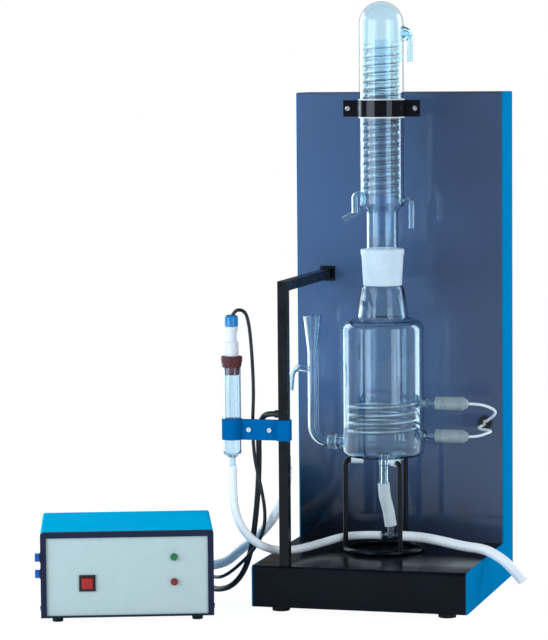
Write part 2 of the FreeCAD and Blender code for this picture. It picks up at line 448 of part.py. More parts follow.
def condenser():
    """Everything that lifts out of the ground socket."""
    w, mouth = JACKET_WALL, SOCKET_Z + SOCKET_H
    base, top = SOCKET_Z + JACKET_BASE, SOCKET_Z + JACKET_TOP
    neck_z = mouth + 7
    cone_low = mouth - 2 - TAPER_H + 2
    parts["condenser_cone"] = lathe([
        (taper(cone_low) - GAP - 3, cone_low, 0), (taper(cone_low) - GAP, cone_low, 0),
        (taper(mouth - 2) - GAP, mouth - 2, 0), (taper(mouth - 2) - GAP, mouth + 2, 2),
        (NECK_TUBE_R, neck_z, 0), (NECK_TUBE_R - w, neck_z, 0), (taper(mouth) - GAP - 4, mouth, 2)])
    outer = lathe([(0, neck_z, 0), (NECK_TUBE_R, neck_z, 0), (NECK_TUBE_R, base - 8, 5), (JACKET_R, base + 3, 8),
                   (JACKET_R, top, JACKET_R - 0.01), (0, top, 0)])
    inner = lathe([(0, neck_z - 1, 0), (NECK_TUBE_R - w, neck_z - 1, 0), (NECK_TUBE_R - w, base - 6, 5),
                   (JACKET_R - w, base + 5, 6), (JACKET_R - w, top - w, JACKET_R - w - 0.01), (0, top - w, 0)])
    jacket = outer.cut(inner)
    hook_r = HOOK_D / 2
    root_r = JACKET_R - w - 1.4

    def hook(points, radii, radius, swell=None):
        """Bent tube, its bore open into the jacket, and the hole it stands in."""
        points = [V(AXIS_X + px, AXIS_Y + py, pz) for px, py, pz in points]
        along = (points[1] - points[0]).normalize()
        outside = pipe(points, radii, radius)
        if swell:
            outside = fused(outside, swell)
        bore = pipe([points[0] - along] + points[1:], radii, radius - HOOK_WALL)
        hole = pipe([points[0] - along * 2] + points[1:], radii, radius + PIN_FIT)
        return outside.cut(bore).cut(inner), hole

    arch_end = ARCH_X + 2 * ARCH_R
    breather, hole_arch = hook([(-ARCH_X, ARCH_Y, base + 3), (-ARCH_X, ARCH_Y, base + ARCH_RISE),
                                (-arch_end, ARCH_Y, base + ARCH_RISE), (-arch_end, ARCH_Y, base - ARCH_DROP)],
                               [0, ARCH_R - 0.1, ARCH_R - 0.1, 0], hook_r)
    out_x = JACKET_R + HOOK_OUT
    water_in, hole_in = hook([(root_r, 0, base + HOOK_ROOT), (out_x, 0, base + HOOK_KNEE), (out_x, 0, base - HOOK_TIP)],
                             [0, HOOK_BEND, 0], hook_r)
    slant = V(*SPOUT_SLANT).normalize()
    spout_root = V(AXIS_X, AXIS_Y, base) + V(*SPOUT_ROOT)
    spout_low = rod(spout_root, spout_root + slant * SPOUT_L, hook_r + 0.4)
    spout = spout_low.cut(rod(spout_root - slant * 2, spout_root + slant * (SPOUT_L + 4), SPOUT_BORE / 2)).cut(inner)
    hole_spout = rod(spout_root, spout_root + slant * 40, hook_r + 0.4 + PIN_FIT)
    vent_z = top - VENT_DOWN
    swell_0, swell_1 = V(AXIS_X + root_r, AXIS_Y, vent_z), V(AXIS_X + out_x - VENT_D / 4, AXIS_Y, vent_z)
    swell = cone(swell_0, swell_1, VENT_ROOT_R, VENT_D / 2 + 0.5)
    water_out, _ = hook([(root_r, 0, vent_z), (out_x, 0, vent_z), (out_x, 0, vent_z - VENT_TIP)],
                        [0, VENT_BEND, 0], VENT_D / 2, swell)
    hole_out = cone(swell_0, swell_1, VENT_ROOT_R + PIN_FIT, VENT_D / 2 + 0.5 + PIN_FIT)
    for hole in (hole_arch, hole_in, hole_spout, hole_out):
        jacket = jacket.cut(hole)
    parts["condenser_jacket"] = jacket
    parts["condenser_hooks"] = joined([breather, water_in, water_out, spout])

    coil = wound(JACKET_R - w - GAP - COIL_TUBE / 2, COIL_PITCH, COIL_TURNS, COIL_TUBE)
    coil.translate(V(AXIS_X, AXIS_Y, base + 16))
    parts["cooling_coil"] = coil

    tube_r, seal_z = STEAM_TUBE_R, base - 14
    tube = lathe([(tube_r - STEAM_TUBE_WALL, neck_z + 12, 0), (tube_r, neck_z + 12, 0), (tube_r, top - 60, 0),
                  (tube_r - STEAM_TUBE_WALL, top - 60, 0)])
    disc = lathe([(tube_r - 1, seal_z, 0), (NECK_TUBE_R - w - GAP, seal_z, 0), (NECK_TUBE_R - w - GAP, seal_z + 3, 0),
                  (tube_r - 1, seal_z + 3, 0)])
    parts["steam_tube"] = fused(tube, disc)


def condenser_clamp():
    """Liner, front band and rear saddle with its arm to the panel."""
    at = V(AXIS_X, AXIS_Y, CLAMP_Z)
    low, high = at - UP * (CLAMP_H / 2), at + UP * (CLAMP_H / 2)
    liner_r = JACKET_R + GAP
    ring_r = liner_r + LINER_T + 0.05
    over = UP * LINER_OVER
    liner = rod(low - over, high + over, liner_r + LINER_T).cut(rod(low - over * 2, high + over * 2, liner_r))
    half = box(-200, 200, AXIS_Y - 0.4, AXIS_Y + 0.4, 0, 999)
    parts["clamp_liner"] = liner.cut(half)
    ring = rod(low, high, ring_r + CLAMP_T)
    bore = rod(low - UP, high + UP, ring_r)
    ears = box(AXIS_X - EAR_END, AXIS_X + EAR_END, AXIS_Y - CLAMP_T - 0.5, AXIS_Y + CLAMP_T + 0.5, low.z, high.z)
    whole = ring.fuse(ears).cut(bore)
    seats = [V(AXIS_X + side * EAR_X, AXIS_Y - CLAMP_T - 0.5, CLAMP_Z) for side in (-1, 1)]
    whole = drilled(whole, seats, BACK, 12)
    slit = box(-200, 200, AXIS_Y - 0.5, AXIS_Y + 0.5, 0, 999)
    whole = whole.cut(slit)
    front = whole.common(box(-200, 200, AXIS_Y - 200, AXIS_Y, 0, 999))
    back = whole.common(box(-200, 200, AXIS_Y, AXIS_Y + 200, 0, 999))
    arm_start = AXIS_Y + ring_r + CLAMP_T / 2
    arm = rod(V(AXIS_X, arm_start, CLAMP_Z), V(AXIS_X, PANEL_Y, CLAMP_Z), CLAMP_ARM_D / 2)
    arm = arm.cut(bore)
    flange = rod(V(AXIS_X, PANEL_Y - CLAMP_FLANGE_T, CLAMP_Z), V(AXIS_X, PANEL_Y, CLAMP_Z), CLAMP_FLANGE_D / 2)
    parts["clamp_band"] = front
    parts["clamp_saddle"] = fused(back, arm, flange)
    return [screw(seat, -BACK, 14) for seat in seats]


def post_and_arm():
    """Square post with a mitred arm back to the panel."""
    x0, x1 = POST_X - POST_W / 2, POST_X + POST_W / 2
    y0, y1, t = POST_Y - POST_W / 2, POST_Y + POST_W / 2, POST_WALL

    def tube(outer, inner):
        solids = []
        for line, a, b in ((outer, x0, x1), (inner, x0 + t, x1 - t)):
            wire = Part.makePolygon([V(a, y, z) for y, z in line + line[:1]])
            solids.append(Part.Face(wire).extrude(V(b - a, 0, 0)))
        return solids[0].cut(solids[1])

    top, low = POST_TOP, POST_TOP - POST_W
    post = tube([(y0, TOP_Z), (y1, TOP_Z), (y1, low), (y0, top)],
                [(y0 + t, TOP_Z), (y1 - t, TOP_Z), (y1 - t, low + t), (y0 + t, top - t)])
    end = PANEL_Y
    arm = tube([(y0, top), (end, top), (end, low), (y1, low)],
               [(y0 + t, top - t), (end, top - t), (end, low + t), (y1 - t, low + t)])
    half = ARM_FLANGE_W / 2
    flange = box(POST_X - half, POST_X + half, end - ARM_FLANGE_T, end, ARM_Z - half, ARM_Z + half)
    flange = flange.cut(box(x0 + t, x1 - t, end - 9, end + 1, low + t, top - t))
    parts["post_arm"] = fused(arm, flange)
    parts["post"] = drilled(post, [V(x0, POST_Y, POST_GLAND_Z)], RIGHT, 5, HEATER_CABLE_D / 2 + 0.5)


def sensor():
    """Glass chamber with a stopper, two electrodes and a capped probe, held by a two-part bracket."""
    x, y, z0 = SENSOR_X, POST_Y, CHAMBER_Z
    top, wall = z0 + CHAMBER_H, CHAMBER_WALL
    outer = lathe([(0, z0 - NIPPLE_L, 0), (NIPPLE_R, z0 - NIPPLE_L, 0), (NIPPLE_R, z0, 3), (CHAMBER_R, z0 + 3, 9),
                   (CHAMBER_R, top, 0), (0, top, 0)], x, y)
    inner = lathe([(0, z0 - NIPPLE_L - 1, 0), (NIPPLE_R - 1.5, z0 - NIPPLE_L - 1, 0), (NIPPLE_R - 1.5, z0 + 3, 2),
                   (CHAMBER_R - wall, z0 + 5, 8), (CHAMBER_R - wall, top + 1, 0), (0, top + 1, 0)], x, y)
    parts["sensor_chamber"] = outer.cut(inner)
    plug_r = CHAMBER_R - wall - 0.1
    stopper = lathe([(0, top - STOPPER_PLUG, 0), (plug_r - 0.8, top - STOPPER_PLUG, 0), (plug_r, top, 0),
                     (STOPPER_R - 2, top, 0), (STOPPER_R, top + STOPPER_H - 6, 1), (STOPPER_R, top + STOPPER_H, 1.5),
                     (0, top + STOPPER_H, 0)], x, y)
    rods = []
    seat = top + STOPPER_H
    for side, length in zip((-1, 1), ELECTRODE_LENGTHS):
        at = V(x + side * ELECTRODE_PITCH / 2, y, seat)
        rods.append(rod(at - UP * length, at, ELECTRODE_D / 2))
        stopper = stopper.cut(rod(at - UP * 60, at + UP * 9, ELECTRODE_D / 2 + PIN_FIT))
    parts["sensor_stopper"] = stopper
    parts["electrodes"] = joined(rods)
    profile, z = [(0, seat, 0)], seat
    for radius, height in BODY_STEPS:
        profile += [(radius, z, 0), (radius, z + height, 1.0)]
        z += height
    profile.append((0, z, 0))
    parts["sensor_body"] = lathe(profile, x, y)
    parts["sensor_cap"] = lathe([(0, z, 0), (CAP_R, z, 0), (CAP_R, z + CAP_H, 5), (0, z + CAP_H, 0)], x, y)

    z0, z1, t = BRACKET_Z, BRACKET_Z + BRACKET_H, BRACKET_T
    grip_r, post_half = CHAMBER_R + 0.2, POST_W / 2
    ring = rod(V(x, y, z0), V(x, y, z1), grip_r + t)
    wrap = box(POST_X - post_half - t, POST_X + post_half + t, y - post_half - t, y + post_half + t, z0, z1)
    web_y = BRACKET_WEB + BRACKET_SLIT / 2
    web = box(x, POST_X, y - web_y, y + web_y, z0, z1)
    body = fused(ring, wrap, web)
    body = body.cut(rod(V(x, y, z0 - 1), V(x, y, z1 + 1), grip_r))
    body = body.cut(box(POST_X - post_half, POST_X + post_half, y - post_half, y + post_half, z0 - 1, z1 + 1))
    middle = z0 + BRACKET_H / 2
    seats = [V(sx, y - web_y, middle) for sx in BRACKET_SCREWS]
    body = drilled(body, seats, BACK, 20)
    body = body.cut(box(-400, 0, y - BRACKET_SLIT / 2, y + BRACKET_SLIT / 2, z0 - 1, z1 + 1))
    parts["bracket_front"] = body.common(box(-400, 0, y - 99, y, z0, z1))
    parts["bracket_back"] = body.common(box(-400, 0, y, y + 99, z0, z1))
    return [screw(seat, -BACK, 2 * web_y + 4) for seat in seats], z + CAP_H


def to_room(point):
    """A point of the controller's own frame, in the stand's frame."""
    turned = FreeCAD.Rotation(UP, CTRL_TURN).multVec(V(*point))
    return turned + V(CTRL_X, CTRL_Y, 0)


def put(shape):
    """The controller's shape, turned and moved to its place beside the stand."""
    shape.rotate(V(0, 0, 0), UP, CTRL_TURN)
    shape.translate(V(CTRL_X, CTRL_Y, 0))
    return shape


def controller():
    """Sheet-metal box with a recessed panel, reset button, two lamps, two fuses and rear outlets."""
    w, d, t = CTRL_W / 2, CTRL_D / 2, CTRL_T
    z0, z1 = CTRL_FOOT_H, CTRL_FOOT_H + CTRL_H
    tray = folded([(d, z1 - t), (d, z0), (-d + BEZEL_DEPTH, z0)], [0, 3, 0], t, -w + t, w - t)
    cover = box(-w, w, -d + BEZEL_DEPTH, d, z0, z1)
    cover = cover.makeFillet(4, [e for e in cover.Edges if abs(e.CenterOfMass.z - z1) < 0.01
                                 and abs(abs(e.CenterOfMass.x) - w) < 0.01])
    cover = cover.cut(box(-w + t, w - t, -d, d + 1, z0 - 1, z1 - t))
    bezel = box(-w, w, -d, -d + BEZEL_DEPTH, z0, z1)
    bezel = bezel.makeFillet(4, [e for e in bezel.Edges if abs(e.CenterOfMass.z - z1) < 0.01
                                 and abs(abs(e.CenterOfMass.x) - w) < 0.01])
    hole = box(-w + BEZEL_SIDE, w - BEZEL_SIDE, -d - 1, d, z0 + BEZEL_FOOT, z1 - BEZEL_TOP)
    bezel = bezel.cut(hole)
    y_face = -d + PANEL_RECESS
    panel = box(-w + BEZEL_SIDE, w - BEZEL_SIDE, y_face, y_face + PANEL_T, z0 + BEZEL_FOOT, z1 - BEZEL_TOP)

    centre = V(BUTTON_X, y_face, BUTTON_Z)

    def square(width, y_from, y_to):
        h = width / 2
        return box(centre.x - h, centre.x + h, y_from, y_to, centre.z - h, centre.z + h)

    bore_w = BUTTON_W + 2 * BUTTON_GAP
    body_w = bore_w + 3
    housing = square(HOUSING_RIM, y_face - HOUSING_RIM_T, y_face).fuse(square(body_w, y_face, y_face + HOUSING_L))
    well = y_face + HOUSING_L - 3
    housing = housing.cut(square(bore_w, y_face - 9, well))
    panel = panel.cut(square(body_w, y_face - 1, y_face + 9))
    button = square(BUTTON_W, y_face - HOUSING_RIM_T - BUTTON_TRAVEL, well - BUTTON_TRAVEL - 2)
    button = button.makeFillet(1.2, [e for e in button.Edges if e.CenterOfMass.y < y_face - HOUSING_RIM_T - 2])
    lamps = []
    for z in (LAMP_GREEN_Z, LAMP_RED_Z):
        at = V(LAMP_X, y_face, z)
        lens = fused(rod(at - BACK * 2, at, LAMP_D / 2 + 1.2), rod(at, at + BACK * LAMP_L, LAMP_D / 2))
        dome = Part.makeSphere(LAMP_D / 2 + 1.2, at - BACK * 2).common(box(-w, w, at.y - 5, at.y - 2, 0, z1))
        lamps.append(fused(lens, dome))
        panel = panel.cut(rod(at - BACK, at + BACK * 9, LAMP_D / 2 + 0.1))

    holders, caps, places = [], [], []
    for z in (FUSE_HIGH_Z, FUSE_LOW_Z):
        at = V(-w, FUSE_Y, z)
        cover = cover.cut(rod(at - RIGHT * 3, at + RIGHT * 9, FUSE_BODY_D / 2 + 0.2))
        collar = rod(at - RIGHT * 2, at, FUSE_BODY_D / 2 + 2.5)
        holder = fused(collar, rod(at, at + RIGHT * FUSE_BODY_L, FUSE_BODY_D / 2))
        stem_hole = rod(at - RIGHT * 3, at + RIGHT * (FUSE_BODY_L - 4), FUSE_STEM_D / 2 + PIN_FIT)
        holders.append(holder.cut(stem_hole))
        face = at - RIGHT * (2 + GAP)
        cap = fused(rod(face - RIGHT * FUSE_CAP_L, face, FUSE_CAP_D / 2),
                    rod(face, face + RIGHT * (FUSE_BODY_L - 8), FUSE_STEM_D / 2))
        slot = box(face.x - FUSE_CAP_L - 1, face.x - FUSE_CAP_L + 1.6, FUSE_Y - 5, FUSE_Y + 5, z - 0.8, z + 0.8)
        caps.append(cap.cut(slot))
        places.append(at)

    glands, tails = [], []
    wall = V(0, d, 0)
    for x, hole in ((SENSOR_EXIT_X, SENSOR_CABLE_D), (HEATER_EXIT_X, HEATER_CABLE_D)):
        at = V(x, d, CABLE_EXIT_Z)
        tray = tray.cut(rod(at - BACK * 9, at + BACK * 3, GLAND_D / 2 - 2))
        gland = fused(rod(at, at + BACK * GLAND_L, GLAND_D / 2), rod(at - BACK * 8, at, GLAND_D / 2 - 2 - GAP))
        glands.append(gland)
    at = V(TAIL_X, d, TAIL_Z)
    tray = tray.cut(rod(at - BACK * 9, at + BACK * 3, TAIL_R + GAP))
    turn_at = at + BACK * TAIL_OUT
    tails.append(fused(rod(at, at + BACK * 4, TAIL_R + 3), rod(at - BACK * 6, at, TAIL_R),
                       pipe([at, turn_at, turn_at + RIGHT * TAIL_REACH], [0, TAIL_BEND, 0], TAIL_R)))
    inlet_hole = box(INLET_X - INLET_W / 2 + 9, INLET_X + INLET_W / 2 - 9, d - 9, d + 9,
                     INLET_Z - INLET_H / 2 + 3, INLET_Z + INLET_H / 2 - 3)
    tray = tray.cut(inlet_hole)
    inlet = fused(box(INLET_X - INLET_W / 2, INLET_X + INLET_W / 2, d, d + 2.5, INLET_Z - INLET_H / 2,
                      INLET_Z + INLET_H / 2),
                  box(INLET_X - INLET_W / 2 + 9.2, INLET_X + INLET_W / 2 - 9.2, d - INLET_L, d + 0.5,
                      INLET_Z - INLET_H / 2 + 3.2, INLET_Z + INLET_H / 2 - 3.2))
    inlet = inlet.cut(box(INLET_X - 12, INLET_X + 12, d - INLET_L + 4, d + 3, INLET_Z - 8, INLET_Z + 8))
    for dx in (-7, 0, 7):
        pin_at = V(INLET_X + dx, d - INLET_L + 4, INLET_Z + (2 if dx == 0 else -2))
        inlet = inlet.fuse(box(pin_at.x - 1, pin_at.x + 1, pin_at.y - 1, d - 3, pin_at.z - 2, pin_at.z + 2))

    feet = []
    for i in (-1, 1):
        for j in (-1, 1):
            at = V(i * (w - CTRL_FOOT_INSET), j * (d - CTRL_FOOT_INSET), 0)
            foot = cone(at, at + UP * z0, CTRL_FOOT_D / 2 - 1, CTRL_FOOT_D / 2)
            feet.append(put(foot.fuse(rod(at + UP * z0, at + UP * (z0 + 5), SCREW_D / 2))))
            tray = tray.cut(rod(at, at + UP * (z0 + 9), SCREW_D / 2 + SCREW_HOLE))
    seats = [V(i * w, j, z0 + 8) for i in (-1, 1) for j in (-d + 40, d - 40)]
    screws = []
    for seat in seats:
        out = RIGHT if seat.x > 0 else -RIGHT
        cover = drilled(cover, [seat], out, 5)
        inner = seat - out * t
        tab = box(*sorted((inner.x, inner.x - out.x * t)), seat.y - 8, seat.y + 8, z0 + t, z0 + 14)
        tray = tray.fuse(drilled(tab, [seat], out, 6))
        screws.append(put(screw(seat, out, 4.5)))
    tray = tray.removeSplitter()

    board_y = d - 20 - BOARD_D
    board = box(-BOARD_W / 2, BOARD_W / 2, board_y, board_y + BOARD_D, z0 + BOARD_Z, z0 + BOARD_Z + BOARD_T)
    posts = [rod(V(x, y, z0 + t), V(x, y, z0 + BOARD_Z), 3)
             for x in (-BOARD_W / 2 + 6, BOARD_W / 2 - 6) for y in (board_y + 6, board_y + BOARD_D - 6)]
    deck = z0 + BOARD_Z + BOARD_T
    tx, ty, tz = TRANSFORMER
    rx, ry, rz = RELAY
    core = box(-60, -60 + tx, board_y + 30, board_y + 30 + ty, deck, deck + tz)
    relay = box(30, 30 + rx, board_y + 30, board_y + 30 + ry, deck, deck + rz)
    inside = joined([board] + posts + [core, relay])

    parts.update(controller_tray=put(tray), controller_cover=put(cover), controller_bezel=put(bezel),
                 controller_panel=put(panel), reset_housing=put(housing), reset_button=put(button),
                 lamp_green=put(lamps[0]), lamp_red=put(lamps[1]), fuse_holders=put(joined(holders)),
                 fuse_cap_upper=put(caps[0]), fuse_cap_lower=put(caps[1]), mains_inlet=put(inlet),
                 circuit_board=put(inside))
    return feet, screws, [put(g) for g in glands], [put(s) for s in tails], places


def tee_and_tails(glands, tails):
    """Glass tee under the boiler, the post's gland and hose tail, and the glands' group."""
    at = V(TEE_X, TEE_Y, TEE_Z)
    arms = [rod(at, at + step * TEE_ARM, TEE_D / 2) for step in (-RIGHT, RIGHT, UP)]
    bores = [rod(at, at + step * (TEE_ARM + 1), TEE_D / 2 - 1.5) for step in (-RIGHT, RIGHT, UP)]
    tee = fused(arms[0], arms[1], arms[2])
    for bore in bores:
        tee = tee.cut(bore)
    parts["drain_tee"] = tee
    face = V(POST_X - POST_W / 2, POST_Y, POST_GLAND_Z)
    radius = HEATER_CABLE_D / 2
    gland = fused(rod(face - RIGHT * POST_GLAND_L, face, radius + 1.5), rod(face, face + RIGHT * 4, radius + 0.4))
    parts["cable_glands"] = joined(glands + [gland])
    boss = V(POST_X - 1.5, POST_Y + POST_W / 2, POST_TAIL_Z)
    turn_at = boss + BACK * TAIL_OUT
    mouth = turn_at - UP * TAIL_REACH
    elbow = fused(rod(boss, boss + BACK * 4, POST_TAIL_FLANGE_R),
                  pipe([boss, turn_at, mouth], [0, TAIL_BEND, 0], TAIL_R))
    parts["hose_tails"] = joined(tails + [elbow])
    return at, mouth


stand_feet, stand_screws = stand()
tripod()
sleeve_ends = boiler()
heater_leads(sleeve_ends)
feed_funnel()
condenser()
clamp_screws = condenser_clamp()
post_and_arm()
bracket_screws, cap_top = sensor()
ctrl_feet, ctrl_screws, ctrl_glands, ctrl_tails, fuse_places = controller()
tee_at, tail_end = tee_and_tails(ctrl_glands, ctrl_tails)
parts["rubber_feet"] = joined(stand_feet + ctrl_feet)
parts["machine_screws"] = joined(stand_screws + clamp_screws + bracket_screws + ctrl_screws)

# Free hoses and cables: hand-chosen route points, first and last on their fittings
tail_mouth = to_room((TAIL_X + TAIL_REACH, CTRL_D / 2 + TAIL_OUT, TAIL_Z))
drain_end = V(AXIS_X, AXIS_Y, BOILER_Z - DRAIN_L)
cord("drop_hose", [drain_end, (-1.5, 1.5, 160), (4, 4.5, 136), tee_at + UP * TEE_ARM], DROP_HOSE_D)
cord("sensor_hose", [
    (SENSOR_X, POST_Y, CHAMBER_Z - NIPPLE_L), (SENSOR_X, POST_Y, 192), (-200, -171.5, 158), (-190, -169, 129),
    (-170, -162, 106), (-148, -144, 92.5), (-130, -110, 86.5), (-114, -66, 85), (-96, -22, 87), (-70, 7, 93),
    (-34, 8, 96.5), tee_at - RIGHT * TEE_ARM], SENSOR_HOSE_D)
cord("drain_hose", [
    tee_at + RIGHT * TEE_ARM, (54, 4, 97), (92, -4, 92.5), (130, -15, 87), (166, -29, 86.5), (194, -42, 76),
    (214, -50, 61), (232, -56, 43)], DRAIN_HOSE_D)
along = to_room((1, 0, 0)) - to_room((0, 0, 0))
outward = to_room((0, 1, 0)) - to_room((0, 0, 0))
cord("water_hose", [
    tail_end, (-122, -150, 190), (-137, -140, 158), (-162, -116, 126), (-192, -86, 100), (-224, -57, 76),
    tail_mouth + along * 33, tail_mouth], WATER_HOSE_D)
sensor_mouth = to_room((SENSOR_EXIT_X, CTRL_D / 2 + GLAND_L, CABLE_EXIT_Z))
heater_mouth = to_room((HEATER_EXIT_X, CTRL_D / 2 + GLAND_L, CABLE_EXIT_Z))
cord("sensor_cable", [
    (SENSOR_X + 2.5, POST_Y, cap_top), (-196.5, -172, 467.5), (-191, -172, 469.8), (-184.8, -171.5, 469),
    (-179.8, -171, 464.8), (-177, -170.5, 457.5), (-174.5, -169.5, 444), (-172.5, -168, 421), (-171, -165, 385),
    (-171, -160, 340), (-175, -155, 285), (-173, -152, 235), (-163, -150, 192), (-157, -147, 150),
    (-163, -141, 117), (-183, -131, 87), (-213, -112, 59), (-245, -84, 36), (-272, -52, 29), (-300, -30, 34),
    (-326, -22, 52), (-341, -33, 74), sensor_mouth + outward * 22, sensor_mouth], SENSOR_CABLE_D)
cord("heater_cable", [
    (POST_X - POST_W / 2 - POST_GLAND_L, POST_Y, POST_GLAND_Z), (-146, POST_Y, POST_GLAND_Z), (-156, -165, 303),
    (-164, -153, 287), (-167, -148, 268), (-168, -143, 235), (-172, -136, 185), (-180, -127, 130), (-190, -116, 85),
    (-205, -104, 49), (-230, -86, 22), (-262, -58, 10), (-288, -22, 8), (-318, 6, 18), (-352, 16, 38),
    (-378, 0, 62), (-380, -28, 82), heater_mouth + outward * 30, heater_mouth], HEATER_CABLE_D)

# Move everything so that the origin is under the middle of the object, cords left out
hard = Part.makeCompound([shape for name, shape in parts.items() if name not in corded]).BoundBox
shift = V(-(hard.XMin + hard.XMax) / 2, -(hard.YMin + hard.YMax) / 2, -hard.ZMin)
print("size %.1f x %.1f x %.1f, shift %.3f %.3f %.3f" % (hard.XLength, hard.YLength, hard.ZLength, *shift))
os.makedirs("parts", exist_ok=True)
for name, shape in parts.items():
    shape.translate(shift)
    shape.exportStep("parts/%s.step" % name)
    if not shape.isValid():
        print("NOT VALID", name)
print(len(parts), "nodes")


def show(label, point):
    """Print a place in metres in the finished frame."""
    print("%-22s %.6f %.6f %.6f" % (label, *[c / 1000 for c in point + shift]))


show("foot", V(STAND_W / 2 - FOOT_INSET_X, -STAND_D / 2 + FOOT_INSET_Y, 0))
show("water_in end", V(AXIS_X - 39, AXIS_Y - 24.5, SOCKET_Z + JACKET_BASE - 9))
show("water_out end", V(AXIS_X + JACKET_R + 12, AXIS_Y, SOCKET_Z + JACKET_BASE - 34))
show("button", to_room((BUTTON_X, -CTRL_D / 2, BUTTON_Z)))
for label, at in zip(("fuse upper", "fuse lower"), fuse_places):
    show(label, to_room(at))
show("stand centre", V(0, 0, 0))
turn = to_room((0, 1, 0)) - to_room((0, 0, 0))
print("button axis", turn.x, turn.y, "fuse axis", turn.y, -turn.x)
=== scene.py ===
"""Quartz water still: boiler, condenser, level sensor, stand and controller box.

Metres, +Z up. Every surface is worked out with numpy on a grid of two parameters, from sizes in millimetres
that are measured from the middle of the stand. Hoses and cables follow the routes of the part's own solids.
"""
import json

import bmesh
import bpy
import numpy as np
from mathutils import Matrix, Vector


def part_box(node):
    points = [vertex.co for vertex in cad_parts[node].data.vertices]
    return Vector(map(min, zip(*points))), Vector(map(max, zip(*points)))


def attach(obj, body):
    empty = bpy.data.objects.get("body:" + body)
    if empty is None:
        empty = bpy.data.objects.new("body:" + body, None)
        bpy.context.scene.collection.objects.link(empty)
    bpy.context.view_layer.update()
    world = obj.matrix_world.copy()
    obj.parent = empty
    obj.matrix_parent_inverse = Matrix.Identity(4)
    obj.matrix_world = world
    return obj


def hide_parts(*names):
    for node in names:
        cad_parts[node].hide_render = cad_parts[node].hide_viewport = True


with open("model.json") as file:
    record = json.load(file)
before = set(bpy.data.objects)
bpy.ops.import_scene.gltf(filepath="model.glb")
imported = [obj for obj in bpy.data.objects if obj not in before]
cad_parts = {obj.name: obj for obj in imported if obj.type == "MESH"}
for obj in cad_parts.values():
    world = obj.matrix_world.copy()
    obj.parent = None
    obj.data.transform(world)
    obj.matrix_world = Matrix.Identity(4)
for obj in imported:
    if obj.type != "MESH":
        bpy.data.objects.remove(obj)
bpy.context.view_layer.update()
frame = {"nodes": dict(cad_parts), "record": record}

bl_info = {
    "name": "Quartz water still",
    "version": (1, 0, 0),
    "blender": (4, 5, 0),
    "location": "3D View > Sidebar > Still",
    "description": "Builds the looks of a quartz water still around its solids",
    "category": "Object",
}

MM = 0.001
X, Y, Z = range(3)
BODIES = frame["record"]["behaviour"]["bodies"]
# Middle of the stand's footprint, in metres
STAND = np.round((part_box("cheek_left")[0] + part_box("cheek_right")[1]) / 2, 6) * (1, 1, 0)


def reach(node, axis):
    """Lowest and highest coordinate of a CAD node, in millimetres from the middle of the stand."""
    return [round((corner[axis] - STAND[axis]) / MM, 2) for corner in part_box(node)]


def middle(node, axis):
    """Middle of a CAD node along an axis, in millimetres from the middle of the stand."""
    return sum(reach(node, axis)) / 2


# Places and sizes that pieces share, in millimetres
GLASS_X, GLASS_Y = middle("boiler_vessel", X), middle("boiler_vessel", Y)
BOILER_R = reach("boiler_vessel", X)[1] - GLASS_X
BOILER_Z = reach("boiler_vessel", Z)[0]
SOCKET_Z, MOUTH_Z = reach("ground_socket", Z)
NECK_Z, NECK_R, NECK_TOP_R = BOILER_Z + 219.5, 41.0, 34.0
SOCKET_FOOT_R, SOCKET_R, SOCKET_RIM_R = 30.5, 33.0, 34.4
FEED_Z = BOILER_Z + 20.0
HEATER_R, HEATER_PITCH, HEATER_TUBE_R = 54.0, 13.0, 4.0
# The winding's sheen is a painted sheen, drawn in its colour
HEATER_WAVE = 100.0                   # way along the winding on which its sheen repeats
HEATER_ENDS = (BOILER_Z + 33.0, BOILER_Z + 85.0)
JACKET_R = reach("condenser_jacket", X)[1] - GLASS_X
JACKET_Z, JACKET_TOP = SOCKET_Z + 124.0, reach("condenser_jacket", Z)[1]
NECK_TUBE_R, STEAM_TUBE_R = 25.5, 15.0
COIL_PITCH, COIL_TUBE_R = 12.6, 5.0
HOOK_R, HOOK_WALL = 4.75, 1.5

# Degrees between the points of a rounded corner and of a tube's bend, and the least that leaves a sharp edge
CORNER_STEP, BEND_STEP, SHARP_ANGLE = 9.0, 6.0, 40.0


def taper(z):
    """Radius of the ground joint, size 60/46, at a height: it grows by one in twenty."""
    return 30.0 - (MOUTH_Z - 2.0 - z) * 0.05


def body_of(node):
    """Body that carries a node."""
    return next(body for body, nodes in BODIES.items() if node in nodes)


# Colours and materials


def linear(colour):
    """Linear RGBA of an sRGB hex colour."""
    parts = [int(colour[i:i + 2], 16) / 255 for i in (1, 3, 5)]
    return [c / 12.92 if c <= 0.04045 else ((c + 0.055) / 1.055) ** 2.4 for c in parts] + [1.0]


def add_node(tree, kind, inputs=None, **settings):
    """One shader node with its settings; an input takes a value or another node's output."""
    node = tree.nodes.new(kind)
    for key, value in settings.items():
        setattr(node, key, value)
    for key, value in (inputs or {}).items():
        if isinstance(value, bpy.types.NodeSocket):
            tree.links.new(value, node.inputs[key])
        else:
            node.inputs[key].default_value = value
    return node


def new_material(name):
    """Empty node material, its tree and its output node."""
    material = bpy.data.materials.new(name)
    material.use_nodes = True
    material.node_tree.nodes.clear()
    return material, material.node_tree, material.node_tree.nodes.new("ShaderNodeOutputMaterial")


def principled(name, **inputs):
    """Principled material with plain values; keys use _ for a space."""
    material, tree, out = new_material(name)
    shader = add_node(tree, "ShaderNodeBsdfPrincipled", {k.replace("_", " "): v for k, v in inputs.items()})
    tree.links.new(shader.outputs[0], out.inputs["Surface"])
    return material, tree, shader


def grain(tree, size_mm, detail=2.0):
    """Noise in object coordinates, with blotches about size_mm across."""
    where = add_node(tree, "ShaderNodeTexCoord").outputs["Object"]
    inputs = {"Vector": where, "Scale": 1.0 / (size_mm * MM), "Detail": detail}
    return add_node(tree, "ShaderNodeTexNoise", inputs).outputs["Fac"]


